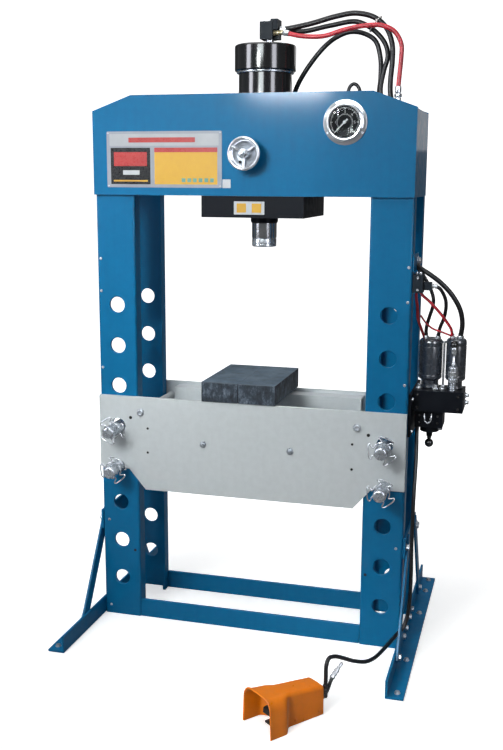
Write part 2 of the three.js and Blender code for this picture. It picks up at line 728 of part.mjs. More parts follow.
// From the pedal back and up to the pump body.
const PEDAL_HOSE = [
  [357.5, -585.5, 64], [358, -583, 100], [358, -578, 138], [362, -566, 153],
  [374, -543, 150], [393, -512, 133], [416, -468, 106], [444, -420, 84], [464, -372, 76],
  [480, -310, 74], [494, -255, 76], [509, -206, 82], [523, -180, 92], [534, -163, 124],
  [539, -155, 184], [540, -151, 260], [538, -148, 360], [538, -140, 500], [537, -96, 640],
  [533, -68, 700], [533, -66, 721.2],
];
put("hose_top", "hose_black", hose(TOP_HOSE, 8, 40));
put("hose_side", "hose_black", hose(SIDE_HOSE, 8, 32));
put("pedal_hose", "hose_black", hose(PEDAL_HOSE, 6, 72, 6));

export default press;
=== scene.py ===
import bpy
import bmesh
from math import acos, cos, pi, radians, sin, sqrt, tan
from mathutils import Matrix, Quaternion, Vector

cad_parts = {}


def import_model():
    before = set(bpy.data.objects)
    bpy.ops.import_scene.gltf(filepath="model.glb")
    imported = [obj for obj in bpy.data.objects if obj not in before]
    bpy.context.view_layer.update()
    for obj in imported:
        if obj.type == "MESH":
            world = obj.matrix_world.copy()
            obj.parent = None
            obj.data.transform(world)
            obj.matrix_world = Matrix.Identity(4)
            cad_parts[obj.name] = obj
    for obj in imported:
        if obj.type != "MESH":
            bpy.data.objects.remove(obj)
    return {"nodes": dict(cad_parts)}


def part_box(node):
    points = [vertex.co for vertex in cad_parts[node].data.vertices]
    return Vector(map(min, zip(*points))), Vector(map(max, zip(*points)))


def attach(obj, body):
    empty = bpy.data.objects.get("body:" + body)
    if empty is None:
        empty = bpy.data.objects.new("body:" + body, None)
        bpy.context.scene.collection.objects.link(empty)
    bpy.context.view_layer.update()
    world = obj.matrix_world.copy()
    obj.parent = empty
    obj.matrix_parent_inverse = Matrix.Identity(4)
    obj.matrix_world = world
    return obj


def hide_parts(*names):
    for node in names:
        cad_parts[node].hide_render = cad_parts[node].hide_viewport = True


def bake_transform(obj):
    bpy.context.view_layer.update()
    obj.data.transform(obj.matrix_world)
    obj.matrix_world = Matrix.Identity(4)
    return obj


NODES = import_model()["nodes"]
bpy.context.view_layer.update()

MM = 0.001
HALF_BAR_SPACING = 0.131
rear_bar_low, rear_bar_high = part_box("base_bar_rear")
FRAME_Y = rear_bar_low.y / 2 + rear_bar_high.y / 2 - HALF_BAR_SPACING
SHIFT = Matrix.Translation((0, FRAME_Y, 0))

# Driving dimensions, mm
SIDE_X = 510          # outer side faces of the uprights
WEB_Y = 140           # front and rear faces of the uprights
PLATE_GAP = 0.3       # between the uprights and the plates laid on them
PLATE_Y = 152         # outer faces of the head and table plates
HEAD_BOTTOM = 1430
CARRIAGE_TOP = 1429.7
PIN_X = 444
PIN_ROWS = [137 + 134.3 * k for k in range(8)]
PIN_HOLE = 26         # radius of the holes in the uprights
PIN_DROP = 4.7        # the pins rest this far below the hole centres
CYL_X = 14            # axis of the cylinder
ROLLER_OFFSET = 129   # roller axes either side of the cylinder
ROLLER_Z = 1470.3
WHEEL_Z = 1557
GAUGE_X, GAUGE_Z = 299.0, 1647.0


# ---------------------------------------------------------------- shader helpers
def node(tree, kind, inputs=None, **settings):
    """Adds a node; each input is either a socket to link or a value to set."""
    made = tree.nodes.new(kind)
    for key, value in settings.items():
        setattr(made, key, value)
    set_inputs(tree, made, inputs or {})
    return made


def set_inputs(tree, target, inputs):
    for key, value in inputs.items():
        if isinstance(value, bpy.types.NodeSocket):
            tree.links.new(value, target.inputs[key])
        else:
            target.inputs[key].default_value = value


def new_material(name, surface="ShaderNodeBsdfPrincipled"):
    """A material whose surface is one node of the given kind."""
    material = bpy.data.materials.new(name)
    material.use_nodes = True
    tree = material.node_tree
    tree.nodes.clear()
    output = tree.nodes.new("ShaderNodeOutputMaterial")
    shader = tree.nodes.new(surface)
    tree.links.new(shader.outputs[0], output.inputs["Surface"])
    return material, tree, shader


def srgb(color):
    """Linear RGBA from 0-255 sRGB."""
    def linear(c):
        c = c / 255.0
        return c / 12.92 if c <= 0.04045 else ((c + 0.055) / 1.055) ** 2.4

    return (*(linear(c) for c in color), 1.0)


def grey(v):
    return (v, v, v, 1.0)


def ramp(tree, source, *stops):
    """Colour ramp through (position, RGBA) stops."""
    made = node(tree, "ShaderNodeValToRGB", {"Fac": source})
    elements = made.color_ramp.elements
    while len(elements) < len(stops):
        elements.new(0.5)
    for element, (position, color) in zip(elements, stops):
        element.position = position
        element.color = color
    return made.outputs["Color"]


def noise(tree, scale, detail, rough, stretch=None):
    """Noise in object space, stretched along the axes if asked."""
    where = node(tree, "ShaderNodeTexCoord").outputs["Object"]
    if stretch:
        where = node(tree, "ShaderNodeMapping", {"Vector": where, "Scale": stretch})
        where = where.outputs["Vector"]
    return node(tree, "ShaderNodeTexNoise", {
        "Vector": where, "Scale": scale, "Detail": detail, "Roughness": rough,
    }).outputs["Fac"]


def mix_color(tree, factor, a, b, blend="MIX"):
    made = node(tree, "ShaderNodeMix", {0: factor, 6: a, 7: b},
                data_type="RGBA", blend_type=blend)
    return made.outputs[2]


def calc(tree, operation, *values, clamp=False):
    return node(tree, "ShaderNodeMath", dict(enumerate(values)),
                operation=operation, use_clamp=clamp).outputs[0]


def bump(tree, height, strength, distance, under=None):
    """A bumped normal, laid over the normal `under` if there is one."""
    inputs = {"Strength": strength, "Distance": distance, "Height": height}
    if under is not None:
        inputs["Normal"] = under
    return node(tree, "ShaderNodeBump", inputs).outputs["Normal"]


def edge_mask(tree, radius):
    """1 near sharp edges, 0 elsewhere: how far the bevelled normal turns from the true one."""
    rounded = node(tree, "ShaderNodeBevel", {"Radius": radius}, samples=4)
    true = node(tree, "ShaderNodeNewGeometry")
    dot = node(tree, "ShaderNodeVectorMath",
               {0: rounded.outputs["Normal"], 1: true.outputs["Normal"]},
               operation="DOT_PRODUCT")
    return calc(tree, "SUBTRACT", 1.0, dot.outputs["Value"], clamp=True)


# ---------------------------------------------------------------- finishes
def enamel(name, dark, base, light, rough, coat, grime=0.35, peel=0.22, chips=0.5,
           chip_color=(150, 160, 170), gloss=0.5, coat_ior=1.5, coat_rough=0.14):
    """Sprayed enamel: slow tone drift, faint streaks, orange peel and worn edges."""
    material, tree, shader = new_material(name)
    tone = ramp(tree, noise(tree, scale=2.1, detail=5.0, rough=0.6),
                (0.30, srgb(dark)), (0.52, srgb(base)), (0.78, srgb(light)))
    fine = noise(tree, scale=46.0, detail=3.0, rough=0.5)
    speck = ramp(tree, fine, (0.38, grey(0.975)), (0.62, grey(1.015)))
    color = mix_color(tree, 1.0, tone, speck, "MULTIPLY")
    # streaks run down the sheet
    streak = ramp(tree, noise(tree, scale=9.0, detail=4.0, rough=0.6, stretch=(6.0, 6.0, 0.5)),
                  (0.42, grey(1.0)), (0.74, grey(1.0 - grime * 0.10)))
    color = mix_color(tree, 1.0, color, streak, "MULTIPLY")
    # chips along the edges, broken up by noise, then thresholded and sharpened
    edge = edge_mask(tree, radius=0.0022)
    wear = noise(tree, scale=70.0, detail=6.0, rough=0.7)
    worn = calc(tree, "MULTIPLY", edge, calc(tree, "MULTIPLY", wear, 5.5 * chips))
    worn = calc(tree, "SUBTRACT", worn, 0.72, clamp=True)
    worn = calc(tree, "MULTIPLY", worn, 1.6, clamp=True)
    color = mix_color(tree, worn, color, srgb(chip_color))
    roughness = ramp(tree, fine, (0.3, grey(rough - 0.07)), (0.7, grey(rough + 0.09)))
    peel_noise = noise(tree, scale=260.0, detail=2.0, rough=0.5)
    wavy = noise(tree, scale=14.0, detail=2.0, rough=0.4)
    waves = bump(tree, wavy, strength=0.10, distance=0.003)
    set_inputs(tree, shader, {
        "Base Color": color,
        "Roughness": roughness,
        "Specular IOR Level": gloss,
        "Coat Weight": coat,
        "Coat IOR": coat_ior,
        "Coat Roughness": coat_rough,
        "Normal": bump(tree, peel_noise, strength=peel, distance=0.0005, under=waves),
    })
    return material


def metal(name, base, tarnish, rough, scratch, stretch=(1, 1, 1), metallic=1.0,
          detail_scale=60.0):
    """Bare metal with tarnished patches and fine scratches."""
    material, tree, shader = new_material(name)
    tone = ramp(tree, noise(tree, scale=6.0, detail=5.0, rough=0.6),
                (0.32, srgb(tarnish)), (0.6, srgb(base)))
    fine = noise(tree, scale=detail_scale, detail=6.0, rough=0.65, stretch=stretch)
    set_inputs(tree, shader, {
        "Base Color": tone,
        "Metallic": metallic,
        "Roughness": ramp(tree, fine, (0.35, grey(rough - 0.06)), (0.68, grey(rough + 0.10))),
        "Normal": bump(tree, fine, strength=scratch, distance=0.0003),
    })
    return material


def rubber(name, base, light, rough, grain=0.25, coat=0.0, specular=0.45):
    material, tree, shader = new_material(name)
    tone = ramp(tree, noise(tree, scale=24.0, detail=5.0, rough=0.6),
                (0.35, srgb(base)), (0.72, srgb(light)))
    fine = noise(tree, scale=420.0, detail=3.0, rough=0.5)
    set_inputs(tree, shader, {
        "Base Color": tone,
        "Roughness": ramp(tree, fine, (0.35, grey(rough - 0.08)), (0.7, grey(rough + 0.12))),
        "Normal": bump(tree, fine, strength=grain, distance=0.0004),
        "Specular IOR Level": specular,
        "Coat Weight": coat,
    })
    return material


def plastic(name, base, light, rough, **finish):
    """Rubber with hardly any grain."""
    return rubber(name, base, light, rough, grain=0.05, **finish)


def ground_steel(name):
    """Blued, surface-ground steel, blotched with stains."""
    material, tree, shader = new_material(name)
    tone = ramp(tree, noise(tree, scale=11.0, detail=8.0, rough=0.66),
                (0.30, srgb((78, 94, 108))), (0.50, srgb((106, 124, 140))),
                (0.66, srgb((122, 140, 156))), (0.82, srgb((94, 108, 122))))
    patch = noise(tree, scale=34.0, detail=6.0, rough=0.7)
    stains = ramp(tree, patch, (0.38, grey(0.62)), (0.52, grey(0.96)), (0.66, grey(1.10)))
    color = mix_color(tree, 1.0, tone, stains, "MULTIPLY")
    # the sides stay dark with scale and oil; the top is worn lighter
    geometry = node(tree, "ShaderNodeNewGeometry")
    normal = node(tree, "ShaderNodeSeparateXYZ", {0: geometry.outputs["Normal"]})
    scale = noise(tree, scale=58.0, detail=7.0, rough=0.72, stretch=(1.0, 1.0, 0.6))
    side = ramp(tree, scale,
                (0.30, srgb((28, 33, 40))), (0.50, srgb((52, 61, 72))),
                (0.60, srgb((84, 96, 110))), (0.72, srgb((132, 144, 158))))
    upward_facing = calc(tree, "MULTIPLY_ADD", normal.outputs["Z"], 2.0, -1.0, clamp=True)
    color = mix_color(tree, upward_facing, side, color)
    worn = calc(tree, "MULTIPLY", edge_mask(tree, radius=0.003), 3.0, clamp=True)
    color = mix_color(tree, worn, color, srgb((150, 160, 168)))
    roughness = ramp(tree, patch, (0.3, grey(0.42)), (0.7, grey(0.62)))
    grind = noise(tree, scale=60.0, detail=4.0, rough=0.6, stretch=(0.4, 9.0, 9.0))
    set_inputs(tree, shader, {
        "Base Color": color,
        "Metallic": 0.35,
        "Roughness": roughness,
        "Normal": bump(tree, grind, strength=0.22, distance=0.0005),
    })
    return material


def gauge_glass():
    """Clear pane: transparent, with a faint Fresnel reflection."""
    material, tree, mix = new_material("gauge_glass", "ShaderNodeMixShader")
    smudges = noise(tree, scale=60.0, detail=3.0, rough=0.5)
    roughness = ramp(tree, smudges, (0.4, grey(0.03)), (0.7, grey(0.08)))
    clear = node(tree, "ShaderNodeBsdfTransparent", {"Color": (0.97, 0.985, 1.0, 1)})
    gloss = node(tree, "ShaderNodeBsdfGlossy", {"Roughness": roughness})
    fresnel = node(tree, "ShaderNodeFresnel", {"IOR": 1.16})
    set_inputs(tree, mix, {0: fresnel.outputs["Fac"], 1: clear.outputs[0], 2: gloss.outputs[0]})
    return material


FRAME_BLUE = enamel("paint_frame_blue", dark=(4, 107, 157), base=(5, 111, 162),
                    light=(8, 114, 165), rough=0.45, coat=0.34, grime=0.45, gloss=0.08,
                    coat_rough=0.11)
TABLE_GREY = enamel("paint_table_grey", dark=(202, 208, 211), base=(205, 211, 214),
                    light=(208, 214, 217), rough=0.44, coat=0.08, grime=0.2, gloss=0.30,
                    chip_color=(120, 124, 128))
SATIN_BLACK = enamel("paint_satin_black", dark=(15, 19, 27), base=(18, 23, 32),
                     light=(21, 27, 37), rough=0.44, coat=0.0, grime=0.4, gloss=0.10,
                     chip_color=(70, 76, 84))
GLOSS_BLACK = enamel("paint_gloss_black", dark=(11, 12, 15), base=(14, 16, 20),
                     light=(18, 20, 26), rough=0.13, coat=1.0, grime=0.3, gloss=0.1,
                     peel=0.05, chips=0.3, chip_color=(70, 72, 76), coat_ior=1.68)
BLOCK_STEEL = ground_steel("steel_press_block")
BRIGHT_STEEL = metal("steel_bright", base=(206, 212, 219), tarnish=(166, 172, 180),
                     rough=0.24, scratch=0.25, metallic=0.78)
RAM_STEEL = metal("steel_ram", base=(206, 208, 210), tarnish=(168, 170, 172),
                  rough=0.16, scratch=0.12, stretch=(1, 1, 16))
CHROME = metal("chrome", base=(226, 230, 235), tarnish=(204, 208, 214),
               rough=0.09, scratch=0.05, metallic=0.72)
ZINC = metal("zinc_bolt", base=(210, 215, 220), tarnish=(160, 168, 178),
             rough=0.30, scratch=0.30, metallic=0.8, detail_scale=150.0)
BRASS = metal("brass", base=(188, 178, 146), tarnish=(140, 130, 102),
              rough=0.28, scratch=0.25, metallic=0.85, detail_scale=120.0)
NEEDLE_WHITE = plastic("paint_needle_white", (236, 236, 232), (246, 246, 244), rough=0.4)
MOTOR_GREY = enamel("anodised_motor_grey", dark=(50, 57, 68), base=(58, 66, 78),
                    light=(66, 75, 88), rough=0.26, coat=0.8, grime=0.4, peel=0.06,
                    chip_color=(130, 136, 144), coat_ior=1.9)
# a spare finish that no piece wears
enamel("enamel_motor_black", dark=(14, 19, 27), base=(18, 24, 34), light=(24, 31, 42),
       rough=0.14, coat=1.0, grime=0.4, peel=0.05, chips=0.3, chip_color=(90, 94, 100),
       coat_ior=2.1)
SLATE = enamel("anodised_valve_slate", dark=(32, 40, 48), base=(36, 45, 54),
               light=(41, 50, 60), rough=0.46, coat=0.0, peel=0.12, gloss=0.10,
               chip_color=(110, 114, 118))
GUARD_ORANGE = enamel("paint_guard_orange", dark=(243, 124, 16), base=(250, 134, 18),
                      light=(254, 142, 24), rough=0.34, coat=0.30, grime=0.5, gloss=0.35,
                      chip_color=(150, 110, 70))
HOSE_BLACK = rubber("rubber_hose_black", (8, 8, 11), (20, 21, 26), rough=0.36)
HOSE_RED = rubber("hose_red", (214, 36, 54), (234, 66, 80), rough=0.34)
RUBBER_BLACK = rubber("rubber_black", (16, 16, 17), (36, 37, 40), rough=0.6)
PLASTIC_BLACK = plastic("plastic_black", (14, 14, 16), (28, 29, 34), rough=0.18, coat=0.6)
WHITE_PLASTIC = plastic("plastic_white", (226, 226, 222), (240, 240, 238), rough=0.4)
DIAL_BLACK = plastic("dial_black", (6, 7, 9), (10, 11, 14), rough=0.5, specular=0.08)
LABEL_GREY = enamel("label_plate_grey", dark=(146, 152, 164), base=(150, 156, 168),
                    light=(154, 160, 172), rough=0.36, coat=0.10, grime=0.3, peel=0.05)
LABEL_BLACK = plastic("label_black", (22, 24, 26), (34, 36, 40), rough=0.3)
# another spare: no label is cream
plastic("label_cream", (226, 220, 176), (236, 232, 196), rough=0.34)
LABEL_RED = plastic("label_red", (178, 38, 40), (196, 54, 50), rough=0.32)
LABEL_WHITE = plastic("label_white", (190, 195, 200), (198, 202, 206), rough=0.34)
LABEL_YELLOW = plastic("label_yellow", (212, 160, 4), (218, 168, 8), rough=0.48)
LABEL_STRIP = plastic("label_strip", (168, 172, 178), (176, 180, 186), rough=0.36)
WEB_STEEL = metal("steel_wheel_web", base=(158, 165, 174), tarnish=(128, 134, 142),
                  rough=0.32, scratch=0.3, metallic=0.55)
LABEL_TEAL = plastic("label_teal", (96, 150, 130), (110, 164, 142), rough=0.36)
# near-black finish for discs set in holes, painted as the shade inside them
HOLE_SHADE = rubber("painted_hole_shade", (6, 7, 9), (14, 16, 20), rough=0.7)
GLASS = gauge_glass()


# ---------------------------------------------------------------- objects
def make_object(name, mesh, material, smooth=40.0):
    """An object from a bmesh; edges sharper than `smooth` degrees stay sharp."""
    bmesh.ops.recalc_face_normals(mesh, faces=mesh.faces)
    data = bpy.data.meshes.new(name)
    mesh.to_mesh(data)
    mesh.free()
    data.transform(SHIFT)
    obj = bpy.data.objects.new(name, data)
    bpy.context.scene.collection.objects.link(obj)
    data.materials.append(material)
    for face in data.polygons:
        face.use_smooth = True
    if smooth is not None:
        data.set_sharp_from_angle(angle=radians(smooth))
    return obj


def register(obj, body="frame", replaces=None):
    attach(obj, body)
    if replaces:
        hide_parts(replaces)


def add(name, mesh, material, body="frame", smooth=40.0, replaces=None):
    register(make_object(name, mesh, material, smooth), body, replaces)


def bake(obj):
    """Turns the object's modifiers into its mesh."""
    bpy.context.view_layer.update()
    graph = bpy.context.evaluated_depsgraph_get()
    data = bpy.data.meshes.new_from_object(obj.evaluated_get(graph))
    obj.modifiers.clear()
    materials = list(obj.data.materials)
    obj.data = data
    if not len(data.materials):
        for material in materials:
            data.materials.append(material)


def boolean(obj, mesh, operation="DIFFERENCE"):
    bmesh.ops.recalc_face_normals(mesh, faces=mesh.faces)
    data = bpy.data.meshes.new("tool")
    mesh.to_mesh(data)
    mesh.free()
    data.transform(SHIFT)
    tool = bpy.data.objects.new("tool", data)
    bpy.context.scene.collection.objects.link(tool)
    modifier = obj.modifiers.new("bool", "BOOLEAN")
    modifier.operation = operation
    modifier.solver = "EXACT"
    modifier.use_self = True
    modifier.object = tool
    bake(obj)
    bpy.data.objects.remove(tool)


def add_rounding(obj, width, segments, angle):
    """Bevel (width in mm) on edges sharper than `angle` degrees, with weighted normals."""
    bevel = obj.modifiers.new("round", "BEVEL")
    bevel.width = width * MM
    bevel.segments = segments
    bevel.limit_method = "ANGLE"
    bevel.angle_limit = radians(angle)
    bevel.use_clamp_overlap = True
    normals = obj.modifiers.new("smooth", "WEIGHTED_NORMAL")
    normals.keep_sharp = False
    normals.weight = 50
    for face in obj.data.polygons:
        face.use_smooth = True
    return bevel


def round_edges(obj, width, segments=3, angle=35.0):
    add_rounding(obj, width, segments, angle).miter_outer = "MITER_ARC"
    bake(obj)


def dress(node_name, material, width, segments=3):
    """Rounds and paints a CAD sheet in place."""
    obj = NODES[node_name]
    weld = obj.modifiers.new("weld", "WELD")
    weld.merge_threshold = 0.00002
    add_rounding(obj, width, segments, 32)
    obj.data.materials.clear()
    obj.data.materials.append(material)


# ---------------------------------------------------------------- placing
# local X is the machine's X, local Y its Z, and heights run to the front
TO_XZ = Matrix(((1, 0, 0, 0), (0, 0, -1, 0), (0, 1, 0, 0), (0, 0, 0, 1)))
# local X is the machine's Y, local Y its Z, and heights run to the right
TO_YZ = Matrix(((0, 0, 1, 0), (1, 0, 0, 0), (0, 1, 0, 0), (0, 0, 0, 1)))


def frame_at(origin, direction):
    """A placement in mm with local Z along the direction."""
    z = Vector(direction).normalized()
    up = Vector((0, 0, 1))
    if abs(z.dot(up)) > 0.98:
        up = Vector((1, 0, 0))
    x = up.cross(z).normalized()
    y = z.cross(x)
    placement = Matrix((x, y, z)).transposed().to_4x4()
    placement.translation = Vector(origin)
    return placement


def to_front(x, y, z):
    return frame_at((x, y, z), (0, -1, 0))


def to_rear(x, y, z):
    return frame_at((x, y, z), (0, 1, 0))


def to_right(x, y, z):
    return frame_at((x, y, z), (1, 0, 0))


def upward(x, y, z=0.0):
    return Matrix.Translation((x, y, z))


# ---------------------------------------------------------------- shapes, in mm
def round_profile(points, radius, steps=3):
    """Rounds the inner corners of an open (radius, height) profile."""
    out = [Vector(points[0])]
    for before, corner, after in zip(points, points[1:], points[2:]):
        corner = Vector(corner)
        back = Vector(before) - corner
        ahead = Vector(after) - corner
        back_length, ahead_length = back.length, ahead.length
        too_short = back_length < 1e-6 or ahead_length < 1e-6
        if too_short or back.normalized().dot(ahead.normalized()) < -0.985:
            out.append(corner)
            continue
        cut = min(radius, back_length * 0.45, ahead_length * 0.45)
        start = corner + back * (cut / back_length)
        end = corner + ahead * (cut / ahead_length)
        for i in range(steps + 1):
            t = i / steps
            out.append(start.lerp(corner, t).lerp(corner.lerp(end, t), t))
    out.append(Vector(points[-1]))
    return out


def lathe(mesh, place, profile, sides=64, rounding=0.8):
    """Revolves (radius, height) about local Z. A radius of 0 makes a pole."""
    points = round_profile(profile, rounding) if rounding else [Vector(p) for p in profile]
    rings = []
    for radius, height in points:
        if radius < 1e-6:
            rings.append([mesh.verts.new(place @ Vector((0, 0, height)) * MM)])
            continue
        ring = []
        for i in range(sides):
            a = 2 * pi * i / sides
            spot = Vector((radius * cos(a), radius * sin(a), height))
            ring.append(mesh.verts.new(place @ spot * MM))
        rings.append(ring)
    for low, high in zip(rings, rings[1:]):
        if len(low) == 1 and len(high) == 1:
            continue
        for i in range(sides):
            j = (i + 1) % sides
            if len(low) == 1:
                mesh.faces.new((low[0], high[j], high[i]))
            elif len(high) == 1:
                mesh.faces.new((low[i], low[j], high[0]))
            else:
                mesh.faces.new((low[i], low[j], high[j], high[i]))


def disc(mesh, place, radius, low, high, sides=36, rounding=0.3):
    """A solid cylinder along local Z."""
    lathe(mesh, place, [(0, low), (radius, low), (radius, high), (0, high)], sides, rounding)


def turned(name, place, profile, sides, rounding, material, body="frame",
           smooth=40.0, replaces=None):
    """An object made of a single lathed profile."""
    mesh = bmesh.new()
    lathe(mesh, place, profile, sides, rounding)
    add(name, mesh, material, body, smooth, replaces)


def prism(mesh, place, outline, low, high, bevel=0.6, segments=2):
    """A flat outline in local XY between two heights, with rounded edges."""
    bottom = [mesh.verts.new(place @ Vector((x, y, low)) * MM) for x, y in outline]
    top = [mesh.verts.new(place @ Vector((x, y, high)) * MM) for x, y in outline]
    count = len(outline)
    faces = [mesh.faces.new(list(reversed(bottom))), mesh.faces.new(top)]
    for i in range(count):
        j = (i + 1) % count
        faces.append(mesh.faces.new((bottom[i], bottom[j], top[j], top[i])))
    if bevel:
        own = set(bottom + top)
        edges = [
            e for e in mesh.edges
            if e.verts[0] in own and e.verts[1] in own and len(e.link_faces) == 2
            and e.calc_face_angle(0) > radians(28)
        ]
        bmesh.ops.recalc_face_normals(mesh, faces=faces)
        bmesh.ops.bevel(mesh, geom=edges, offset=bevel * MM, segments=segments,
                        profile=0.6, affect="EDGES", clamp_overlap=True)


def block(mesh, x0, x1, y0, y1, z0, z1, bevel):
    outline = [(x0, y0), (x1, y0), (x1, y1), (x0, y1)]
    prism(mesh, Matrix.Identity(4), outline, z0, z1, bevel, 3)


def hex_nut(mesh, place, across, low, high):
    """Chamfered hexagon: a hexagon met with a shallow cone at both ends."""
    corner = across / sqrt(3)
    flat = across / 2
    chamfer = (corner - flat) * 0.58
    rows = []
    for height, limit in ((low, flat * 0.97), (low + chamfer, corner),
                          (high - chamfer, corner), (high, flat * 0.97)):
        ring = []
        for i in range(48):
            a = 2 * pi * i / 48
            radius = min(flat / cos((a % (pi / 3)) - pi / 6), limit)
            spot = Vector((radius * cos(a), radius * sin(a), height))
            ring.append(mesh.verts.new(place @ spot * MM))
        rows.append(ring)
    for lower, upper in zip(rows, rows[1:]):
        for i in range(48):
            j = (i + 1) % 48
            mesh.faces.new((lower[i], lower[j], upper[j], upper[i]))
    mesh.faces.new(list(reversed(rows[0])))
    mesh.faces.new(rows[-1])


def washer_and_nut(mesh, place, washer, thickness, across, top, sides=36):
    disc(mesh, place, washer, 0, thickness, sides)
    hex_nut(mesh, place, across, thickness, top)


def socket_bolt(mesh, place, radius, height, base=0.0):
    """A round bolt head with a recess in its top."""
    lathe(mesh, place, [
        (0, base), (radius, base), (radius, base + height * 0.75),
        (radius * 0.9, base + height), (radius * 0.52, base + height),
        (radius * 0.48, base + height * 0.45), (0, base + height * 0.42),
    ], 36, radius * 0.08)


def catmull(points, per):
    """Centripetal Catmull-Rom curve through the points, `per` steps to a span."""
    points = [Vector(p) for p in points]
    points = [points[0] * 2 - points[1]] + points + [points[-1] * 2 - points[-2]]
    out = []
    for i in range(1, len(points) - 2):
        p0, p1, p2, p3 = points[i - 1:i + 3]
        t0 = 0.0
        t1 = t0 + (p1 - p0).length ** 0.5
        t2 = t1 + (p2 - p1).length ** 0.5
        t3 = t2 + (p3 - p2).length ** 0.5
        last = i == len(points) - 3
        for k in range(per + (1 if last else 0)):
            t = t1 + (t2 - t1) * k / per
            a1 = p0 * ((t1 - t) / (t1 - t0)) + p1 * ((t - t0) / (t1 - t0))
            a2 = p1 * ((t2 - t) / (t2 - t1)) + p2 * ((t - t1) / (t2 - t1))
            a3 = p2 * ((t3 - t) / (t3 - t2)) + p3 * ((t - t2) / (t3 - t2))
            b1 = a1 * ((t2 - t) / (t2 - t0)) + a2 * ((t - t0) / (t2 - t0))
            b2 = a2 * ((t3 - t) / (t3 - t1)) + a3 * ((t - t1) / (t3 - t1))
            out.append(b1 * ((t2 - t) / (t2 - t1)) + b2 * ((t - t1) / (t2 - t1)))
    return out


def sweep(mesh, points, radius, sides=20, per=12, closed=False):
    """A tube along a smooth curve, or straight from point to point where per is 0.
    The radius may be a function of the length so far and of the share of the steps."""
    path = catmull(points, per) if per else [Vector(p) for p in points]
    count = len(path)
    tangents = []
    for i in range(count):
        if closed:
            a, b = path[(i - 1) % count], path[(i + 1) % count]
        else:
            a, b = path[max(0, i - 1)], path[min(count - 1, i + 1)]
        tangents.append((b - a).normalized())
    normal = tangents[0].orthogonal().normalized()
    rings = []
    length = 0.0
    for i in range(count):
        if i:
            length += (path[i] - path[i - 1]).length
            turn = tangents[i - 1].rotation_difference(tangents[i])
            normal = (turn @ normal).normalized()
        binormal = tangents[i].cross(normal).normalized()
        r = radius(length, i / (count - 1)) if callable(radius) else radius
        ring = []
        for k in range(sides):
            a = 2 * pi * k / sides
            spot = path[i] + normal * (r * cos(a)) + binormal * (r * sin(a))
            ring.append(mesh.verts.new(spot * MM))
        rings.append(ring)
    pairs = list(zip(rings, rings[1:]))
    if closed:
        # match the seam by the nearest vertex
        last, first = rings[-1], rings[0]
        offset = min(range(sides), key=lambda s: (first[s].co - last[0].co).length)
        pairs.append((last, [first[(k + offset) % sides] for k in range(sides)]))
    for a, b in pairs:
        for k in range(sides):
            j = (k + 1) % sides
            mesh.faces.new((a[k], a[j], b[j], b[k]))
    if not closed:
        mesh.faces.new(list(reversed(rings[0])))
        mesh.faces.new(rings[-1])


# ---------------------------------------------------------------- plain CAD sheets
for sheet in ("head_end_plate_left", "head_end_plate_right", "tie_plate_left",
              "tie_plate_right", "base_bar_front", "base_bar_rear", "foot_left", "foot_right",
              "brace_left_front", "brace_left_rear", "brace_right_front",
              "brace_right_rear"):
    dress(sheet, FRAME_BLUE, 1.4)
for sheet in ("press_block_left", "press_block_right"):
    dress(sheet, BLOCK_STEEL, 2.2, 4)
dress("table_stiffener", TABLE_GREY, 1.6)
dress("carriage_rack", BRIGHT_STEEL, 0.3, 2)


# ---------------------------------------------------------------- head and table plates
def holed_plate(name, outline, holes, rear, material, replaces, bevel, notches=()):
    """A plate in the XZ plane, front or rear, with (x, z, radius) holes and
    (x0, x1, z0, z1) notches."""
    y0, y1 = WEB_Y + PLATE_GAP, PLATE_Y
    if not rear:
        y0, y1 = -y1, -y0
    mesh = bmesh.new()
    prism(mesh, TO_XZ, outline, -y1, -y0, 0)
    obj = make_object(name, mesh, material)
    cutters = bmesh.new()
    for x, z, radius in holes:
        disc(cutters, to_rear(x, 0, z), radius, y0 - 4, y1 + 4, 64, 0)
    for x0, x1, z0, z1 in notches:
        outline = [(x0, z0), (x1, z0), (x1, z1), (x0, z1)]
        prism(cutters, TO_XZ, outline, -(y1 + 4), -(y0 - 4), 0)
    boolean(obj, cutters)
    round_edges(obj, bevel)
    register(obj, replaces=replaces)


# (x, z)
HEAD_OUTLINE = [
    (-SIDE_X, HEAD_BOTTOM), (SIDE_X, HEAD_BOTTOM), (SIDE_X, 1689),
    (380, 1736), (-380, 1736), (-SIDE_X, 1689),
]
holed_plate("head_plate_front_skin", HEAD_OUTLINE,
            [(GAUGE_X, GAUGE_Z, 50.6), (0, WHEEL_Z, 10)], False,
            FRAME_BLUE, "head_front_plate", 1.2)
holed_plate("head_plate_rear_skin", HEAD_OUTLINE, [], True,
            FRAME_BLUE, "head_rear_plate", 1.2)
for tag, y0, y1 in (("front", -140.9, -118), ("rear", 118, 140.9)):
    mesh = bmesh.new()
    block(mesh, -370, 370, y0, y1, 1438, 1446, 1.0)
    add("head_rail_" + tag, mesh, FRAME_BLUE)


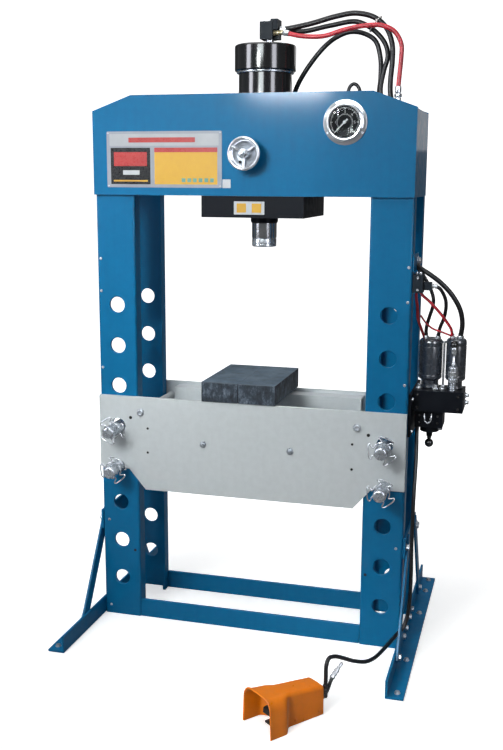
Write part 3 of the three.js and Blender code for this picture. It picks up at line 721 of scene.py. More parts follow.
# ---------------------------------------------------------------- uprights
def channel_section():
    """(x, y) of the right rear channel: web to the rear, its two flanges to the front."""
    near, far, wall = 378.0, SIDE_X, 10
    outer, inner = 8.0, 3.0                     # bend radii
    web, flange_end = WEB_Y, 95.0
    web_inside = web - wall
    outer_turn = [pi / 2 * k / 6 for k in range(1, 6)]
    inner_turn = [pi / 2 * k / 4 for k in range(1, 4)]
    points = [(near, flange_end), (near, web - outer)]
    points += [(near + outer - outer * cos(t), web - outer + outer * sin(t))
               for t in outer_turn]
    points += [(near + outer, web), (far - outer, web)]
    points += [(far - outer + outer * sin(t), web - outer + outer * cos(t))
               for t in outer_turn]
    points += [(far, web - outer), (far, flange_end), (far - wall, flange_end),
               (far - wall, web_inside - inner)]
    points += [(far - wall - inner + inner * cos(t), web_inside - inner + inner * sin(t))
               for t in inner_turn]
    points += [(far - wall - inner, web_inside), (near + wall + inner, web_inside)]
    points += [(near + wall + inner - inner * sin(t), web_inside - inner + inner * cos(t))
               for t in inner_turn]
    points += [(near + wall, web_inside - inner), (near + wall, flange_end)]
    return points


def upright(side, face, tag):
    mesh = bmesh.new()
    section = [(side * x, face * y) for x, y in channel_section()]
    prism(mesh, Matrix.Identity(4), section, 0, 1680, 0)
    obj = make_object("upright_%s_skin" % tag, mesh, FRAME_BLUE)
    tool = bmesh.new()
    rim = PIN_HOLE + 1.8
    for z in PIN_ROWS:
        place = frame_at((side * PIN_X, 0, z), (0, face, 0))
        lathe(tool, place, [
            (0, 120), (PIN_HOLE, 120), (PIN_HOLE, WEB_Y - 1.8), (rim, WEB_Y),
            (rim, WEB_Y + 2), (0, WEB_Y + 2),
        ], 72, 0)
    # the outer flange is cut away behind the head's end plate
    block(tool, *sorted((side * 500.0, side * 512.0)), *sorted((face * 90.0, face * 141.0)),
          CARRIAGE_TOP, 1690, 0)
    boolean(obj, tool)
    round_edges(obj, 0.9, 2, 40)
    register(obj, replaces="upright_" + tag)


for side, side_tag in ((-1, "left"), (1, "right")):
    for face, face_tag in ((-1, "front"), (1, "rear")):
        upright(side, face, side_tag + "_" + face_tag)

# ---------------------------------------------------------------- table
# (x, z)
TABLE_OUTLINE = [
    (-SIDE_X, 529), (-407, 529), (-349, 461), (349, 461), (407, 529), (SIDE_X, 529),
    (SIDE_X, 776), (-SIDE_X, 776),
]
SMALL_PIN_HOLE = 21.3
LOW_PIN_Z = PIN_ROWS[3] - PIN_DROP
# holes in the front table plate; each gets a dark disc painted as the shade inside it
BIG_SHADED_HOLES = [(-399, 705), (393, 703)]
SMALL_SHADED_HOLES = [(-339, 672), (-340, 590), (343, 670), (343, 589)]

for rear, tag in ((False, "front"), (True, "rear")):
    holes = [(s * PIN_X, PIN_ROWS[4], PIN_HOLE) for s in (-1, 1)]
    holes += [(s * PIN_X, LOW_PIN_Z, SMALL_PIN_HOLE) for s in (-1, 1)]
    if not rear:
        holes += [(x, z, 5.2) for x, z in BIG_SHADED_HOLES]
        holes += [(x, z, 2.6) for x, z in SMALL_SHADED_HOLES]
    notches = [(s * PIN_X - SMALL_PIN_HOLE, s * PIN_X + SMALL_PIN_HOLE, 520, LOW_PIN_Z)
               for s in (-1, 1)]
    holed_plate("table_plate_%s_skin" % tag, TABLE_OUTLINE, holes, rear,
                TABLE_GREY, "table_%s_plate" % tag, 1.0, notches)

SPACERS = (("left", -360), ("right", 358))
SPACER_Z = 724
for tag, x in SPACERS:
    turned("table_spacer_%s_skin" % tag, to_rear(x, 0, SPACER_Z), [
        (0, -140), (15, -140), (15, -137.5), (13.6, -136),
        (13.6, 136), (15, 137.5), (15, 140), (0, 140),
    ], 48, 0.8, TABLE_GREY, replaces="table_spacer_" + tag)

# ---------------------------------------------------------------- carriage
CYL_AXIS = upward(CYL_X, 0)
ROLLERS = (("left", CYL_X - ROLLER_OFFSET), ("right", CYL_X + ROLLER_OFFSET))


def carriage():
    """The block with its roller brackets, bored for the cylinder and the roller axles."""
    mesh = bmesh.new()
    block(mesh, CYL_X - 163, CYL_X + 163, -PLATE_Y, PLATE_Y, 1364, CARRIAGE_TOP, 0)
    obj = make_object("carriage_block_skin", mesh, SATIN_BLACK)
    for y0, y1, z0 in ((-60, 60, 1400), (-132, -50, 1500)):
        tool = bmesh.new()
        for _, x in ROLLERS:
            block(tool, x - 25, x + 25, y0, y1, z0, 1517.7, 0)
        boolean(obj, tool, "UNION")
    for radius, low, high in ((83.6, 1380, 1560), (44.4, 1350, 1390)):
        tool = bmesh.new()
        disc(tool, CYL_AXIS, radius, low, high, 96, 0)
        boolean(obj, tool)
    tool = bmesh.new()
    for _, x in ROLLERS:
        disc(tool, to_rear(x, 0, ROLLER_Z), 8.3, -80, 80, 48, 0)
    boolean(obj, tool)
    round_edges(obj, 1.6)
    register(obj, "carriage", "carriage_block")


carriage()

for tag, x in ROLLERS:
    turned("roller_%s_skin" % tag, to_rear(x, 0, ROLLER_Z), [
        (0, -137), (10, -137), (10, -135), (24, -135), (24, -119), (8, -119),
        (8, 119), (24, 119), (24, 135), (10, 135), (10, 137), (0, 137),
    ], 64, 0.9, BRIGHT_STEEL, "roller_" + tag, replaces="roller_set_" + tag)

# ---------------------------------------------------------------- cylinder and ram
BORE = 40.3
CAP_TOP = 1890
# name, (radius, height) profile, sides, rounding, material, slot, body, CAD piece
CYLINDER_PIECES = [
    ("cylinder_barrel_skin",
     [(67, 1380.6), (83.2, 1380.6), (83.2, 1850), (67, 1850), (67, 1380.6)],
     128, 1.2, GLOSS_BLACK, "gloss_black", "carriage", "cylinder_barrel"),
    ("cylinder_cap_skin",
     [(83.5, 1811), (94, 1811), (96, 1814), (96, 1884), (94.6, 1887.6), (91, CAP_TOP),
      (6, CAP_TOP), (6, 1850.3), (83.5, 1850.3), (83.5, 1811)],
     128, 1.0, GLOSS_BLACK, "gloss_black", "carriage", "cylinder_cap"),
    ("cylinder_collars",
     [(83.9, 1431.5), (90, 1431.5), (90, 1433.5), (86, 1439), (83.9, 1441)],
     128, 0.4, GLOSS_BLACK, "gloss_black", "carriage", None),
    ("cylinder_cap_ring",
     [(83.9, 1810.6), (89.6, 1810.6), (90.2, 1809.8), (90.2, 1806.2), (89.2, 1804.9),
      (83.9, 1804.4), (83.9, 1810.6)],
     128, 0, BRIGHT_STEEL, "bright_steel", "carriage", None),
    ("cylinder_gland_skin",
     [(BORE, 1346), (42.4, 1346), (44, 1347.6), (44, 1380.4), (66.7, 1380.4),
      (66.7, 1420), (BORE, 1420), (BORE, 1346)],
     96, 0.5, SATIN_BLACK, "satin_black", "carriage", "cylinder_gland"),
    ("cylinder_wiper",
     [(40.15, 1345.9), (40.15, 1343.4), (41.6, 1343.0), (42.2, 1344.4), (42.2, 1345.9),
      (40.15, 1345.9)],
     96, 0.25, RUBBER_BLACK, "satin_black", "carriage", None),
    ("ram_rod_skin",
     [(0, 1295.3), (38.6, 1295.3), (40, 1296.7), (40, 1790), (66.7, 1790), (66.7, 1846),
      (0, 1846)],
     96, 0.8, RAM_STEEL, "bright_steel", "ram", "ram_rod"),
    ("ram_nose_skin",
     [(0, 1268), (36.5, 1268), (39.5, 1271), (39.5, 1276), (39.0, 1276.6), (39.0, 1278.2),
      (39.5, 1278.8), (39.5, 1293.6), (38.2, 1295), (0, 1295)],
     96, 0.4, BRIGHT_STEEL, "bright_steel", "ram", "ram_nose"),
]
for name, profile, sides, rounding, material, slot, body, replaces in CYLINDER_PIECES:
    turned(name, CYL_AXIS, profile, sides, rounding, material, body,
           replaces=replaces)

SCREW_TURN = -0.35    # radians from the front towards the left
SCREW_RADIUS = 39.3
turned("ram_set_screw",
       frame_at((CYL_X + SCREW_RADIUS * sin(SCREW_TURN), -SCREW_RADIUS * cos(SCREW_TURN),
                 1284.6), (sin(SCREW_TURN), -cos(SCREW_TURN), 0)),
       [(0, -1.5), (4.6, -1.5), (4.6, 0.3), (4.0, 0.7), (2.4, 0.7), (2.2, -1.0), (0, -1.0)],
       32, 0.15, ZINC, "ram")

# ---------------------------------------------------------------- valve block on the cap
VALVE_TOP = 1958.5
turned("valve_neck", upward(28, 0), [
    (0, CAP_TOP + 0.3), (15, CAP_TOP + 0.3), (15, 1893), (12.5, 1894.5), (12.5, 1904),
    (15, 1905), (15, 1906.3), (0, 1906.3),
], 48, 0.4, CHROME, "carriage")
mesh = bmesh.new()
block(mesh, 2, 42, -28, 28, 1906.4, VALVE_TOP, 1.6)
block(mesh, 36, 58, -26, 27, 1934, 1965.5, 1.4)
block(mesh, 36.2, 57.8, -8, 26.8, 1907.5, 1935, 1.4)
add("valve_block_skin", mesh, SLATE, "carriage", replaces="valve_block")
mesh = bmesh.new()
for z, y in ((1936, 2), (1938, 15)):
    hex_nut(mesh, to_right(58, y, z), 14, 0, 5)
place = frame_at((42, -14, 1924), (1, 0, 0.04))
hex_nut(mesh, place, 16, 0, 7)
lathe(mesh, place, [
    (0, 7), (6.6, 7), (6.6, 10), (8.0, 10.6), (8.0, 17), (5.4, 18), (5.4, 22), (7.2, 23),
    (7.2, 31), (0, 31),
], 32, 0.4)
add("valve_unions_brass", mesh, BRASS, "carriage")
mesh = bmesh.new()
for x, y in ((13, -18), (13, 18), (31, -18)):
    socket_bolt(mesh, upward(x, y, VALVE_TOP), 3.6, 3)
add("valve_unions_chrome", mesh, ZINC, "carriage")

# ---------------------------------------------------------------- handwheel and its shaft
WHEEL_AXIS = to_front(0, 0, WHEEL_Z)   # heights are distances in front of the middle
RIM_RADIUS, RIM_WIRE, RIM_FORWARD = 46, 5, 196


def handwheel():
    mesh = bmesh.new()
    rim = []
    for k in range(28):
        a = 2 * pi * k / 28
        rim.append((RIM_RADIUS + RIM_WIRE * cos(a), RIM_FORWARD + RIM_WIRE * sin(a)))
    rim.append(rim[0])
    lathe(mesh, WHEEL_AXIS, rim, 96, 0)
    # thin step inside the rim
    lathe(mesh, WHEEL_AXIS, [
        (41.6, 193.2), (39.2, 191.4), (37.6, 190.6), (36.2, 191.2), (36.0, 192.6),
        (37.4, 194.0), (39.6, 195.2), (41.6, 196.6), (41.6, 193.2),
    ], 96, 0)
    # tapered spokes, set back a little at the hub: (distance out, set back)
    for k in range(3):
        a = -pi / 2 + 2 * pi * k / 3
        outward = Vector((cos(a), 0, sin(a)))
        points = [Vector((0, -RIM_FORWARD, WHEEL_Z)) + outward * out + Vector((0, set_back, 0))
                  for out, set_back in ((10, 6), (20, 4.5), (31, 1.5), (42, 0))]
        sweep(mesh, points, lambda length, t: 5.4 - 1.5 * t, per=8)
    # hub
    lathe(mesh, WHEEL_AXIS, [
        (9.3, 180), (17, 180), (17, 187), (15.8, 199), (15, 208), (11.6, 212), (9.3, 212),
        (9.3, 180),
    ], 64, 1.0)
    add("handwheel_skin", mesh, CHROME, "handwheel", replaces="handwheel")


handwheel()
turned("handwheel_web", WHEEL_AXIS, [
    (16.5, 182.4), (26, 184.0), (37.6, 189.0), (38.4, 190.8), (37.2, 191.2), (26, 186.4),
    (16.5, 184.8), (16.5, 182.4),
], 96, 0.3, WEB_STEEL, "handwheel", 50)
# a dark disc in the handwheel, painted as the shade inside the handle's hole
turned("handwheel_handle_hole_shade",
       frame_at((-13.0, -187.6, WHEEL_Z - 25), (0.05, -1, 0.12)),
       [(0, -1.6), (4.6, -1.6), (4.6, 1.8), (3.9, 2.0), (3.4, 0.8), (0, 0.6)],
       32, 0.1, HOLE_SHADE, "handwheel", 50)
mesh = bmesh.new()
hex_nut(mesh, WHEEL_AXIS, 19, 212.1, 219.4)
lathe(mesh, WHEEL_AXIS, [(0, 219.4), (5.4, 219.4), (5.4, 223), (4.4, 224.4), (0, 224.4)],
      32, 0.4)
add("handwheel_nut", mesh, ZINC, "handwheel")
turned("handwheel_shaft_skin", WHEEL_AXIS, [
    (0, 120), (9, 120), (9, 152.2), (15, 152.6), (15, 160), (9, 160), (9, 214), (7, 216),
    (0, 216),
], 48, 0.6, BRIGHT_STEEL, "handwheel", replaces="handwheel_shaft")


def pinion():
    """Sixteen teeth with involute flanks, behind the head's front plate."""
    teeth, pitch_radius, module = 16, 20.0, 2.5
    base = pitch_radius * cos(radians(20))
    tip = pitch_radius + 0.75 * module
    root = pitch_radius - 1.05 * module

    def involute(radius):
        pressure = acos(min(1.0, base / radius))
        return tan(pressure) - pressure

    half_tooth = 0.215 * pi * module
    half_angle = half_tooth / pitch_radius + involute(pitch_radius)
    flank = [base + (tip - base) * k / 4 for k in range(5)]
    root_angle = half_angle - involute(base)
    points = []
    for tooth in range(teeth):
        mid = -pi / 2 + tooth * 2 * pi / teeth
        points.append((root, mid - root_angle - 0.02))
        points += [(r, mid - (half_angle - involute(r))) for r in flank]
        points += [(r, mid + (half_angle - involute(r))) for r in reversed(flank)]
        points.append((root, mid + root_angle + 0.02))
    outline = [(r * cos(a), WHEEL_Z + r * sin(a)) for r, a in points]
    mesh = bmesh.new()
    prism(mesh, TO_XZ, outline, 115, 131, 0)
    add("handwheel_pinion", mesh, BRIGHT_STEEL, "handwheel", 30)


pinion()

# ---------------------------------------------------------------- pressure gauge
GAUGE_AXIS = to_front(GAUGE_X, 0, GAUGE_Z)
MARK_LOW, MARK_TOP = 161.2, 161.45     # marks stand between these distances forward
turned("gauge_case_skin", GAUGE_AXIS, [
    (0, 126), (50, 126), (50, 152.3), (66, 152.3), (66, 154), (64.6, 155.4), (56, 156),
    (55, 157), (54, 169), (51.4, 170.6), (47.6, 170.4), (46.4, 169), (46, 160), (0, 160),
], 128, 0.5, CHROME, replaces="gauge_case")
turned("gauge_dial", GAUGE_AXIS,
       [(0, 160.1), (45.6, 160.1), (45.6, 160.9), (44.8, 161.3), (0, 161.3)],
       96, 0.2, DIAL_BLACK)


def raised_bar(mesh, start, end, along, half_width, overrun=0.0):
    """A thin bar on the dial from start to end, lengthened by the overrun at both ends."""
    across = Vector((-along.z, 0, along.x)) * half_width
    extra = along * overrun
    quad = [start - extra + across, end + extra + across,
            end + extra - across, start - extra - across]
    low = [mesh.verts.new((p + Vector((0, -MARK_LOW, 0))) * MM) for p in quad]
    top = [mesh.verts.new((p + Vector((0, -MARK_TOP, 0))) * MM) for p in quad]
    mesh.faces.new(low)
    mesh.faces.new(list(reversed(top)))
    for i in range(4):
        j = (i + 1) % 4
        mesh.faces.new((low[i], top[i], top[j], low[j]))


def gauge_marks():
    """An outer and an inner scale, and the digits 0 to 6 in seven-segment strokes."""
    mesh = bmesh.new()
    centre = Vector((GAUGE_X, 0, GAUGE_Z))

    def tick(angle, inner, outer, half_width):
        along = Vector((cos(angle), 0, sin(angle)))
        raised_bar(mesh, centre + along * inner, centre + along * outer, along, half_width)

    for k in range(61):
        major = k % 10 == 0
        inner = 36 if major else (38 if k % 5 == 0 else 39.5)
        tick(radians(225 - 4.5 * k), inner, 43, 0.9 if major else 0.5)
    for k in range(46):
        tick(radians(225 - 6 * k), 21.2, 24.4 if k % 5 else 25.6, 0.42)

    # segment ends on a grid two units wide and four high
    segments = {
        "a": ((-1, 2), (1, 2)), "b": ((1, 2), (1, 0)), "c": ((1, 0), (1, -2)),
        "d": ((-1, -2), (1, -2)), "e": ((-1, 0), (-1, -2)), "f": ((-1, 2), (-1, 0)),
        "g": ((-1, 0), (1, 0)),
    }
    unit, stroke = 1.6, 0.45
    for k, digit in enumerate(("abcdef", "bc", "abged", "abgcd", "fgbc", "afgcd", "afgedc")):
        a = radians(225 - 45 * k)
        x, z = GAUGE_X + 29.5 * cos(a), GAUGE_Z + 29.5 * sin(a)
        for letter in digit:
            (xa, za), (xb, zb) = segments[letter]
            raised_bar(mesh, Vector((x + xa * unit, 0, z + za * unit)),
                       Vector((x + xb * unit, 0, z + zb * unit)),
                       Vector((xb - xa, 0, zb - za)).normalized(), stroke, stroke)
    add("gauge_marks", mesh, NEEDLE_WHITE, smooth=None)


gauge_marks()


def gauge_needle():
    mesh = bmesh.new()
    c, s = cos(radians(225)), sin(radians(225))
    # (along the needle, across it)
    points = [(-12, -2.6), (-12, 2.6), (-4, 1.9), (30, 1.0), (37, 0.3), (37, -0.3),
              (30, -1.0), (-4, -1.9)]
    outline = [(GAUGE_X + u * c - v * s, GAUGE_Z + u * s + v * c) for u, v in points]
    prism(mesh, TO_XZ, outline, 163.2, 164.4, 0.25)
    lathe(mesh, GAUGE_AXIS, [
        (0, 161.6), (2.6, 161.6), (2.6, 163.0), (5, 163.2), (5, 165.2), (4, 166.2),
        (0, 166.4),
    ], 40, 0.3)
    add("gauge_needle_skin", mesh, NEEDLE_WHITE, "needle",
        replaces="gauge_needle")


gauge_needle()
turned("gauge_glass", GAUGE_AXIS,
       [(0, 167.2), (45.9, 167.2), (45.9, 168.6), (45, 169.0), (0, 169.3)],
       96, 0.2, GLASS)
mesh = bmesh.new()
for k in range(3):
    a = radians(90 + 120 * k)
    lathe(mesh, to_front(GAUGE_X + 60.5 * cos(a), -155.2, GAUGE_Z + 60.5 * sin(a)),
          [(0, 0), (3.6, 0), (3.4, 1.2), (2.2, 2.0), (1.0, 2.0), (0.9, 1.1), (0, 1.1)],
          28, 0.2)
add("gauge_flange_screws", mesh, ZINC)
# pressure port behind the case
mesh = bmesh.new()
place = to_rear(GAUGE_X, 0, GAUGE_Z)
lathe(mesh, place, [(0, -126), (14, -126), (14, -110), (9, -108), (9, -96), (0, -96)],
      40, 0.6)
hex_nut(mesh, place, 22, -108, -98)
add("gauge_port", mesh, BRASS)

# ---------------------------------------------------------------- support pins and bails
PIN_RADIUS = 21
BAIL_Y = -203


def pin_profile():
    """(radius, distance forward): domed nose in front, tapered tail behind."""
    points = [(0, 239.6), (1.5, 239.8), (2.2, 241.8), (6, 241.9), (10.5, 241.3)]
    for k in range(9):
        a = pi / 2 * k / 8
        points.append((12.0 + 9.0 * sin(a), 232.0 + 9.0 * cos(a)))
    return points + [(PIN_RADIUS, 225), (20.6, 224), (20.6, 222.6), (PIN_RADIUS, 221.6),
                     (PIN_RADIUS, 194), (PIN_RADIUS, -160), (19, -166), (15, -172), (0, -172)]


def support_pin(tag, x, z):
    mesh = bmesh.new()
    lathe(mesh, to_front(x, 0, z), pin_profile(), 72, 0)
    obj = make_object("support_pin_%s_skin" % tag, mesh, BRIGHT_STEEL)
    tool = bmesh.new()
    disc(tool, upward(x, BAIL_Y), 3.2, z - 40, z + 40, 24, 0)
    boolean(obj, tool)
    obj.data.set_sharp_from_angle(angle=radians(40))
    register(obj, "pin_" + tag, "support_pin_" + tag)


def pin_bail(tag, x, z, turns):
    """One wire bent into three loops round the pin, with a leg through the cross hole.
    The turns are the bearings of the loops in degrees."""
    # (degrees from the loop's middle, radius)
    loop = [(-21, 27.0), (-24, 33.0), (-33, 41.0), (-31, 44.5), (-22, 45.0), (0, 42.5),
            (22, 45.0), (31, 44.5), (33, 41.0), (24, 33.0), (21, 27.0)]
    turns = sorted(turns)
    path = []
    for i, turn in enumerate(turns):
        for offset, r in loop:
            a = radians(turn + offset)
            forward = 2.0 if abs(offset) < 30 and r > 40 else 0
            path.append(Vector((x + r * cos(a), BAIL_Y - forward, z + r * sin(a))))
        following = turns[(i + 1) % 3] + (360 if i == 2 else 0)
        for k in range(1, 4):
            a = radians(turn + 21 + (following - turn - 42) * k / 4)
            path.append(Vector((x + 27.0 * cos(a), BAIL_Y, z + 27.0 * sin(a))))
    # closed Catmull-Rom, three steps to a span
    wire = []
    for i in range(len(path)):
        p0, p1, p2, p3 = (path[(i + k) % len(path)] for k in (-1, 0, 1, 2))
        for k in range(3):
            t = k / 3
            wire.append(0.5 * ((2 * p1) + (p2 - p0) * t + (2 * p0 - 5 * p1 + 4 * p2 - p3) * t * t
                               + (3 * p1 - p0 - 3 * p2 + p3) * t * t * t))
    mesh = bmesh.new()
    sweep(mesh, wire, 2.0, 10, 0, closed=True)
    sweep(mesh, [(x, BAIL_Y, z + dz) for dz in (-27.5, -10, 10, 27.5)], 2.2, 12, 4)
    for end in (-27, 27):
        lathe(mesh, upward(x, BAIL_Y), [
            (0, z + end - 3.4), (3.2, z + end - 3.0), (3.8, z + end - 1.6),
            (3.8, z + end + 1.6), (3.2, z + end + 3.0), (0, z + end + 3.4),
        ], 24, 0.4)
    add("pin_clip_%s_skin" % tag, mesh, CHROME, "clip_" + tag, 60,
        "pin_clip_" + tag)


for side, side_tag in ((-1, "left"), (1, "right")):
    for row, row_tag in ((4, "upper"), (3, "lower")):
        tag = side_tag + "_" + row_tag
        x, z = side * PIN_X, PIN_ROWS[row] - PIN_DROP
        support_pin(tag, x, z)
        pin_bail(tag, x, z, (5, 125, -115) if tag == "left_upper" else (72, -50, 186))

# ---------------------------------------------------------------- fasteners
SCREW_HEAD = [(0, 0), (4.7, 0), (4.6, 1.0), (3.4, 2.4), (1.9, 2.8), (1.7, 1.4), (0, 1.4)]

mesh = bmesh.new()
for x, z in ((-364, 725), (357, 724)):
    place = to_front(x, -PLATE_Y, z)
    disc(mesh, place, 13.2, 0, 1.6, 40)
    socket_bolt(mesh, place, 10, 7, 1.6)
for x, z in ((-147, 632), (144, 632)):
    washer_and_nut(mesh, to_front(x, -PLATE_Y, z), 11.4, 1.5, 15, 7.5)
for _, x in SPACERS:
    place = to_rear(x, PLATE_Y, SPACER_Z)
    washer_and_nut(mesh, place, 13.2, 1.6, 19, 11, 40)
    lathe(mesh, place, [(0, 11), (6, 11), (6, 16), (5, 17), (0, 17)], 28, 0.2)
add("table_bolts", mesh, ZINC)

# dark discs in the table plate's small holes, painted as the shade inside them, then a flat dark
# ring round each, also painted shade
mesh = bmesh.new()
for shaded_holes, r in ((BIG_SHADED_HOLES, 5.1), (SMALL_SHADED_HOLES, 3.4)):
    for x, z in shaded_holes:
        lathe(mesh, to_front(x, -142, z),
              [(0, -0.4), (r, -0.4), (r, 5.5), (r * 0.8, 6.0), (r * 0.7, 3.0), (0, 2.0)],
              28, 0.05)
for shaded_holes, r in ((BIG_SHADED_HOLES, 5.4), (SMALL_SHADED_HOLES, 4.1)):
    for x, z in shaded_holes:
        lathe(mesh, to_front(x, -PLATE_Y, z),
              [(0, 0.02), (r, 0.02), (r, 0.3), (r * 0.8, 0.32), (r * 0.7, 0.1), (0, 0.1)],
              28, 0.02)
add("table_hole_shades", mesh, HOLE_SHADE)

mesh = bmesh.new()
for x, z in ((-497, 1226), (-498, 1121), (-499, 867), (-488, 340), (-488, 31),
             (499, 1224), (499, 1119), (498, 865), (488, 338)):
    lathe(mesh, to_front(x, -WEB_Y, z), SCREW_HEAD, 28, 0.25)
for side in (-1, 1):
    for z in (340, 867, 1121, 1226):
        lathe(mesh, to_rear(side * 498, WEB_Y, z), SCREW_HEAD, 28, 0.25)
add("upright_screws", mesh, ZINC)
# two dark domed discs on the uprights' fronts, painted as the shade of holes
mesh = bmesh.new()
for x, z in ((-396, 239), (393, 240)):
    lathe(mesh, to_front(x, -WEB_Y, z),
          [(0, -0.4), (4.9, -0.4), (4.7, 0.35), (4.0, 0.45), (0, 0.4)], 28, 0.05)
add("upright_hole_shades", mesh, HOLE_SHADE)

# tie plates, braces and feet
mesh = bmesh.new()
for side in (-1, 1):
    outward = (side, 0, 0)
    for y in (-118, 118):
        place = frame_at((side * 518, y, 338), outward)
        washer_and_nut(mesh, place, 12, 2, 19, 10)
        lathe(mesh, place, [(0, 10), (5.8, 10), (5.8, 14), (5, 15), (0, 15)], 28, 0.2)
    for face in (-1, 1):
        for y, z in ((96, 338), (281, 43)):
            washer_and_nut(mesh, frame_at((side * 525, face * y, z), outward),
                           10.5, 1.8, 16, 8.5)
    for y in (-110, -45, 45, 110):
        washer_and_nut(mesh, frame_at((side * 518, y, 32), outward), 10.5, 1.8, 16, 8.5)
    for y in (-440, -226, 135, 334, 440):
        washer_and_nut(mesh, frame_at((side * 543, y, 8), (0, 0, 1)), 9.5, 1.6, 13, 7.0)
add("foot_and_brace_bolts", mesh, ZINC)

mesh = bmesh.new()
for side in (-1, 1):
    for z in (1462, 1560, 1658):
        washer_and_nut(mesh, to_rear(side * 490, PLATE_Y, z), 12, 1.8, 18, 9.5)
add("head_rear_bolts", mesh, ZINC)


# ---------------------------------------------------------------- labels without lettering
def label(name, x0, x1, z0, z1, back, thickness, corner, material, body="frame",
          slot="frame_blue"):
    """A round-cornered plate; `back` is how far forward its back lies."""
    outline = []
    for x, z, start in ((x1 - corner, z1 - corner, 0), (x0 + corner, z1 - corner, 90),
                        (x0 + corner, z0 + corner, 180), (x1 - corner, z0 + corner, 270)):
        for k in range(6):
            a = radians(start + 18 * k)
            outline.append((x + corner * cos(a), z + corner * sin(a)))
    mesh = bmesh.new()
    prism(mesh, TO_XZ, outline, back, back + thickness, min(0.25, thickness * 0.4))
    add(name, mesh, material, body)


# backs of the fields laid on the rating plate, and of the marks laid on those fields
ON_PLATE, ON_STRIP, ON_FIELD = PLATE_Y + 1.2, 153.5, 153.55
# name, x0, x1, z0, z1, back, thickness, corner radius, material
HEAD_LABELS = [
    ("plate", -462, -82, 1454, 1626, PLATE_Y, 1.2, 4, LABEL_GREY),
    ("title_strip", -452, -92, 1582, 1618, ON_PLATE, 0.3, 2, LABEL_STRIP),
    ("left_field", -449, -316, 1464, 1576, ON_PLATE, 0.35, 2, LABEL_BLACK),
    ("right_field", -302, -96, 1464, 1576, ON_PLATE, 0.35, 2, LABEL_YELLOW),
    ("right_band", -302, -96, 1562, 1576, ON_FIELD, 0.3, 1.5, LABEL_RED),
    ("title_bar", -388, -168, 1592, 1607, ON_STRIP, 0.25, 1.5, LABEL_RED),
    ("left_bar", -438, -327, 1520, 1563, ON_FIELD, 0.25, 1.5, LABEL_RED),
    ("left_bar_pale", -408, -352, 1493, 1507, ON_FIELD, 0.25, 1.5, LABEL_WHITE),
    ("left_bar_thin", -440, -325, 1472, 1477, ON_FIELD, 0.25, 1.0, LABEL_YELLOW),
    *(("mark_%d" % i, -212 + i * 18.5, -200 + i * 18.5, 1471, 1483, ON_FIELD, 0.25, 1.5,
       LABEL_TEAL) for i in range(6)),
    ("square", -80, -54, 1454, 1480, PLATE_Y, 0.8, 1.5, LABEL_WHITE),
]
for name, *shape in HEAD_LABELS:
    label("head_label_" + name, *shape)
label("carriage_label", -43, 54, 1374, 1414, PLATE_Y, 0.8, 2, LABEL_WHITE,
      "carriage", "satin_black")
for i, x in enumerate((-34, 14)):
    label("carriage_label_square_%d" % i, x, x + 30, 1380, 1408, PLATE_Y + 0.8, 0.3, 2,
          LABEL_YELLOW, "carriage", "satin_black")
mesh = bmesh.new()
for x in (-457, -87):
    for z in (1459, 1621):
        lathe(mesh, to_front(x, -ON_PLATE, z),
              [(0, 0), (2.3, 0), (2.1, 0.9), (1.2, 1.5), (0, 1.7)], 20, 0.1)
add("head_label_rivets", mesh, ZINC)

# ---------------------------------------------------------------- pump
MOUNT_X = SIDE_X + 0.4          # pieces fixed to the right upright start here
MOUNT_PLATE_X = 518.6           # outer face of the pump's mounting plate
MANIFOLD_TOP = 843
MANIFOLD_RIGHT = 672
ON_MANIFOLD = 843.2             # where the nuts on the manifold start
LEVER_AXIS = upward(638, -80)
PUMP_AXIS = upward(568, -30)

mesh = bmesh.new()
prism(mesh, TO_YZ, [(-128, 700), (128, 700), (128, 833), (-128, 833)],
      MOUNT_X, MOUNT_PLATE_X, 1.2)
block(mesh, 518.65, MANIFOLD_RIGHT, -95, 15, 777.2, MANIFOLD_TOP, 2.2)
add("pump_manifold_skin", mesh, SATIN_BLACK, smooth=38,
    replaces="pump_manifold")

mesh = bmesh.new()
disc(mesh, LEVER_AXIS, 9, 843.05, 872, 40, 0.4)
for z in (846, 852, 858, 864):
    lathe(mesh, LEVER_AXIS, [(8.9, z), (10.6, z), (10.6, z + 2), (8.9, z + 2), (8.9, z)],
          40, 0.3)
lathe(mesh, LEVER_AXIS, [
    (0, 872.1), (15, 872.1), (15, 884), (11, 885.5), (11, 889), (14, 890.5), (14, 917),
    (12.5, 920), (7.9, 920), (7.6, 919.8), (0, 919.8),
], 48, 0.8)
add("control_valve_sleeve", mesh, BRIGHT_STEEL, smooth=38)


def air_motor(tag, x, y, r, top):
    turned("air_motor_%s_skin" % tag, upward(x, y), [
        (0, 843.4), (r - 6, 843.4), (r - 6, 849), (r - 9, 850), (r - 9, 868), (r - 3, 871),
        (r, 875), (r, 884), (r - 0.9, 885), (r - 0.9, 886.6), (r, 887.6), (r, top - 26),
        (r - 0.9, top - 25.4), (r - 0.9, top - 24), (r, top - 23.4), (r, top - 13),
        (r - 1.5, top - 7.5), (r - 6, top - 3), (r - 13, top - 0.8), (0, top),
    ], 96, 1.2, MOTOR_GREY, smooth=42, replaces="air_motor_" + tag)
    mesh = bmesh.new()
    for k in range(4):
        a = pi / 4 + k * pi / 2
        place = upward(x + (r - 13) * cos(a), y + (r - 13) * sin(a), top - 1.6)
        socket_bolt(mesh, place, 3.2, 2.6)
    add("air_motor_%s_bolts" % tag, mesh, ZINC)


air_motor("left", 563, -30, 36, 1000)
air_motor("right", 641, -30, 31, 1004)

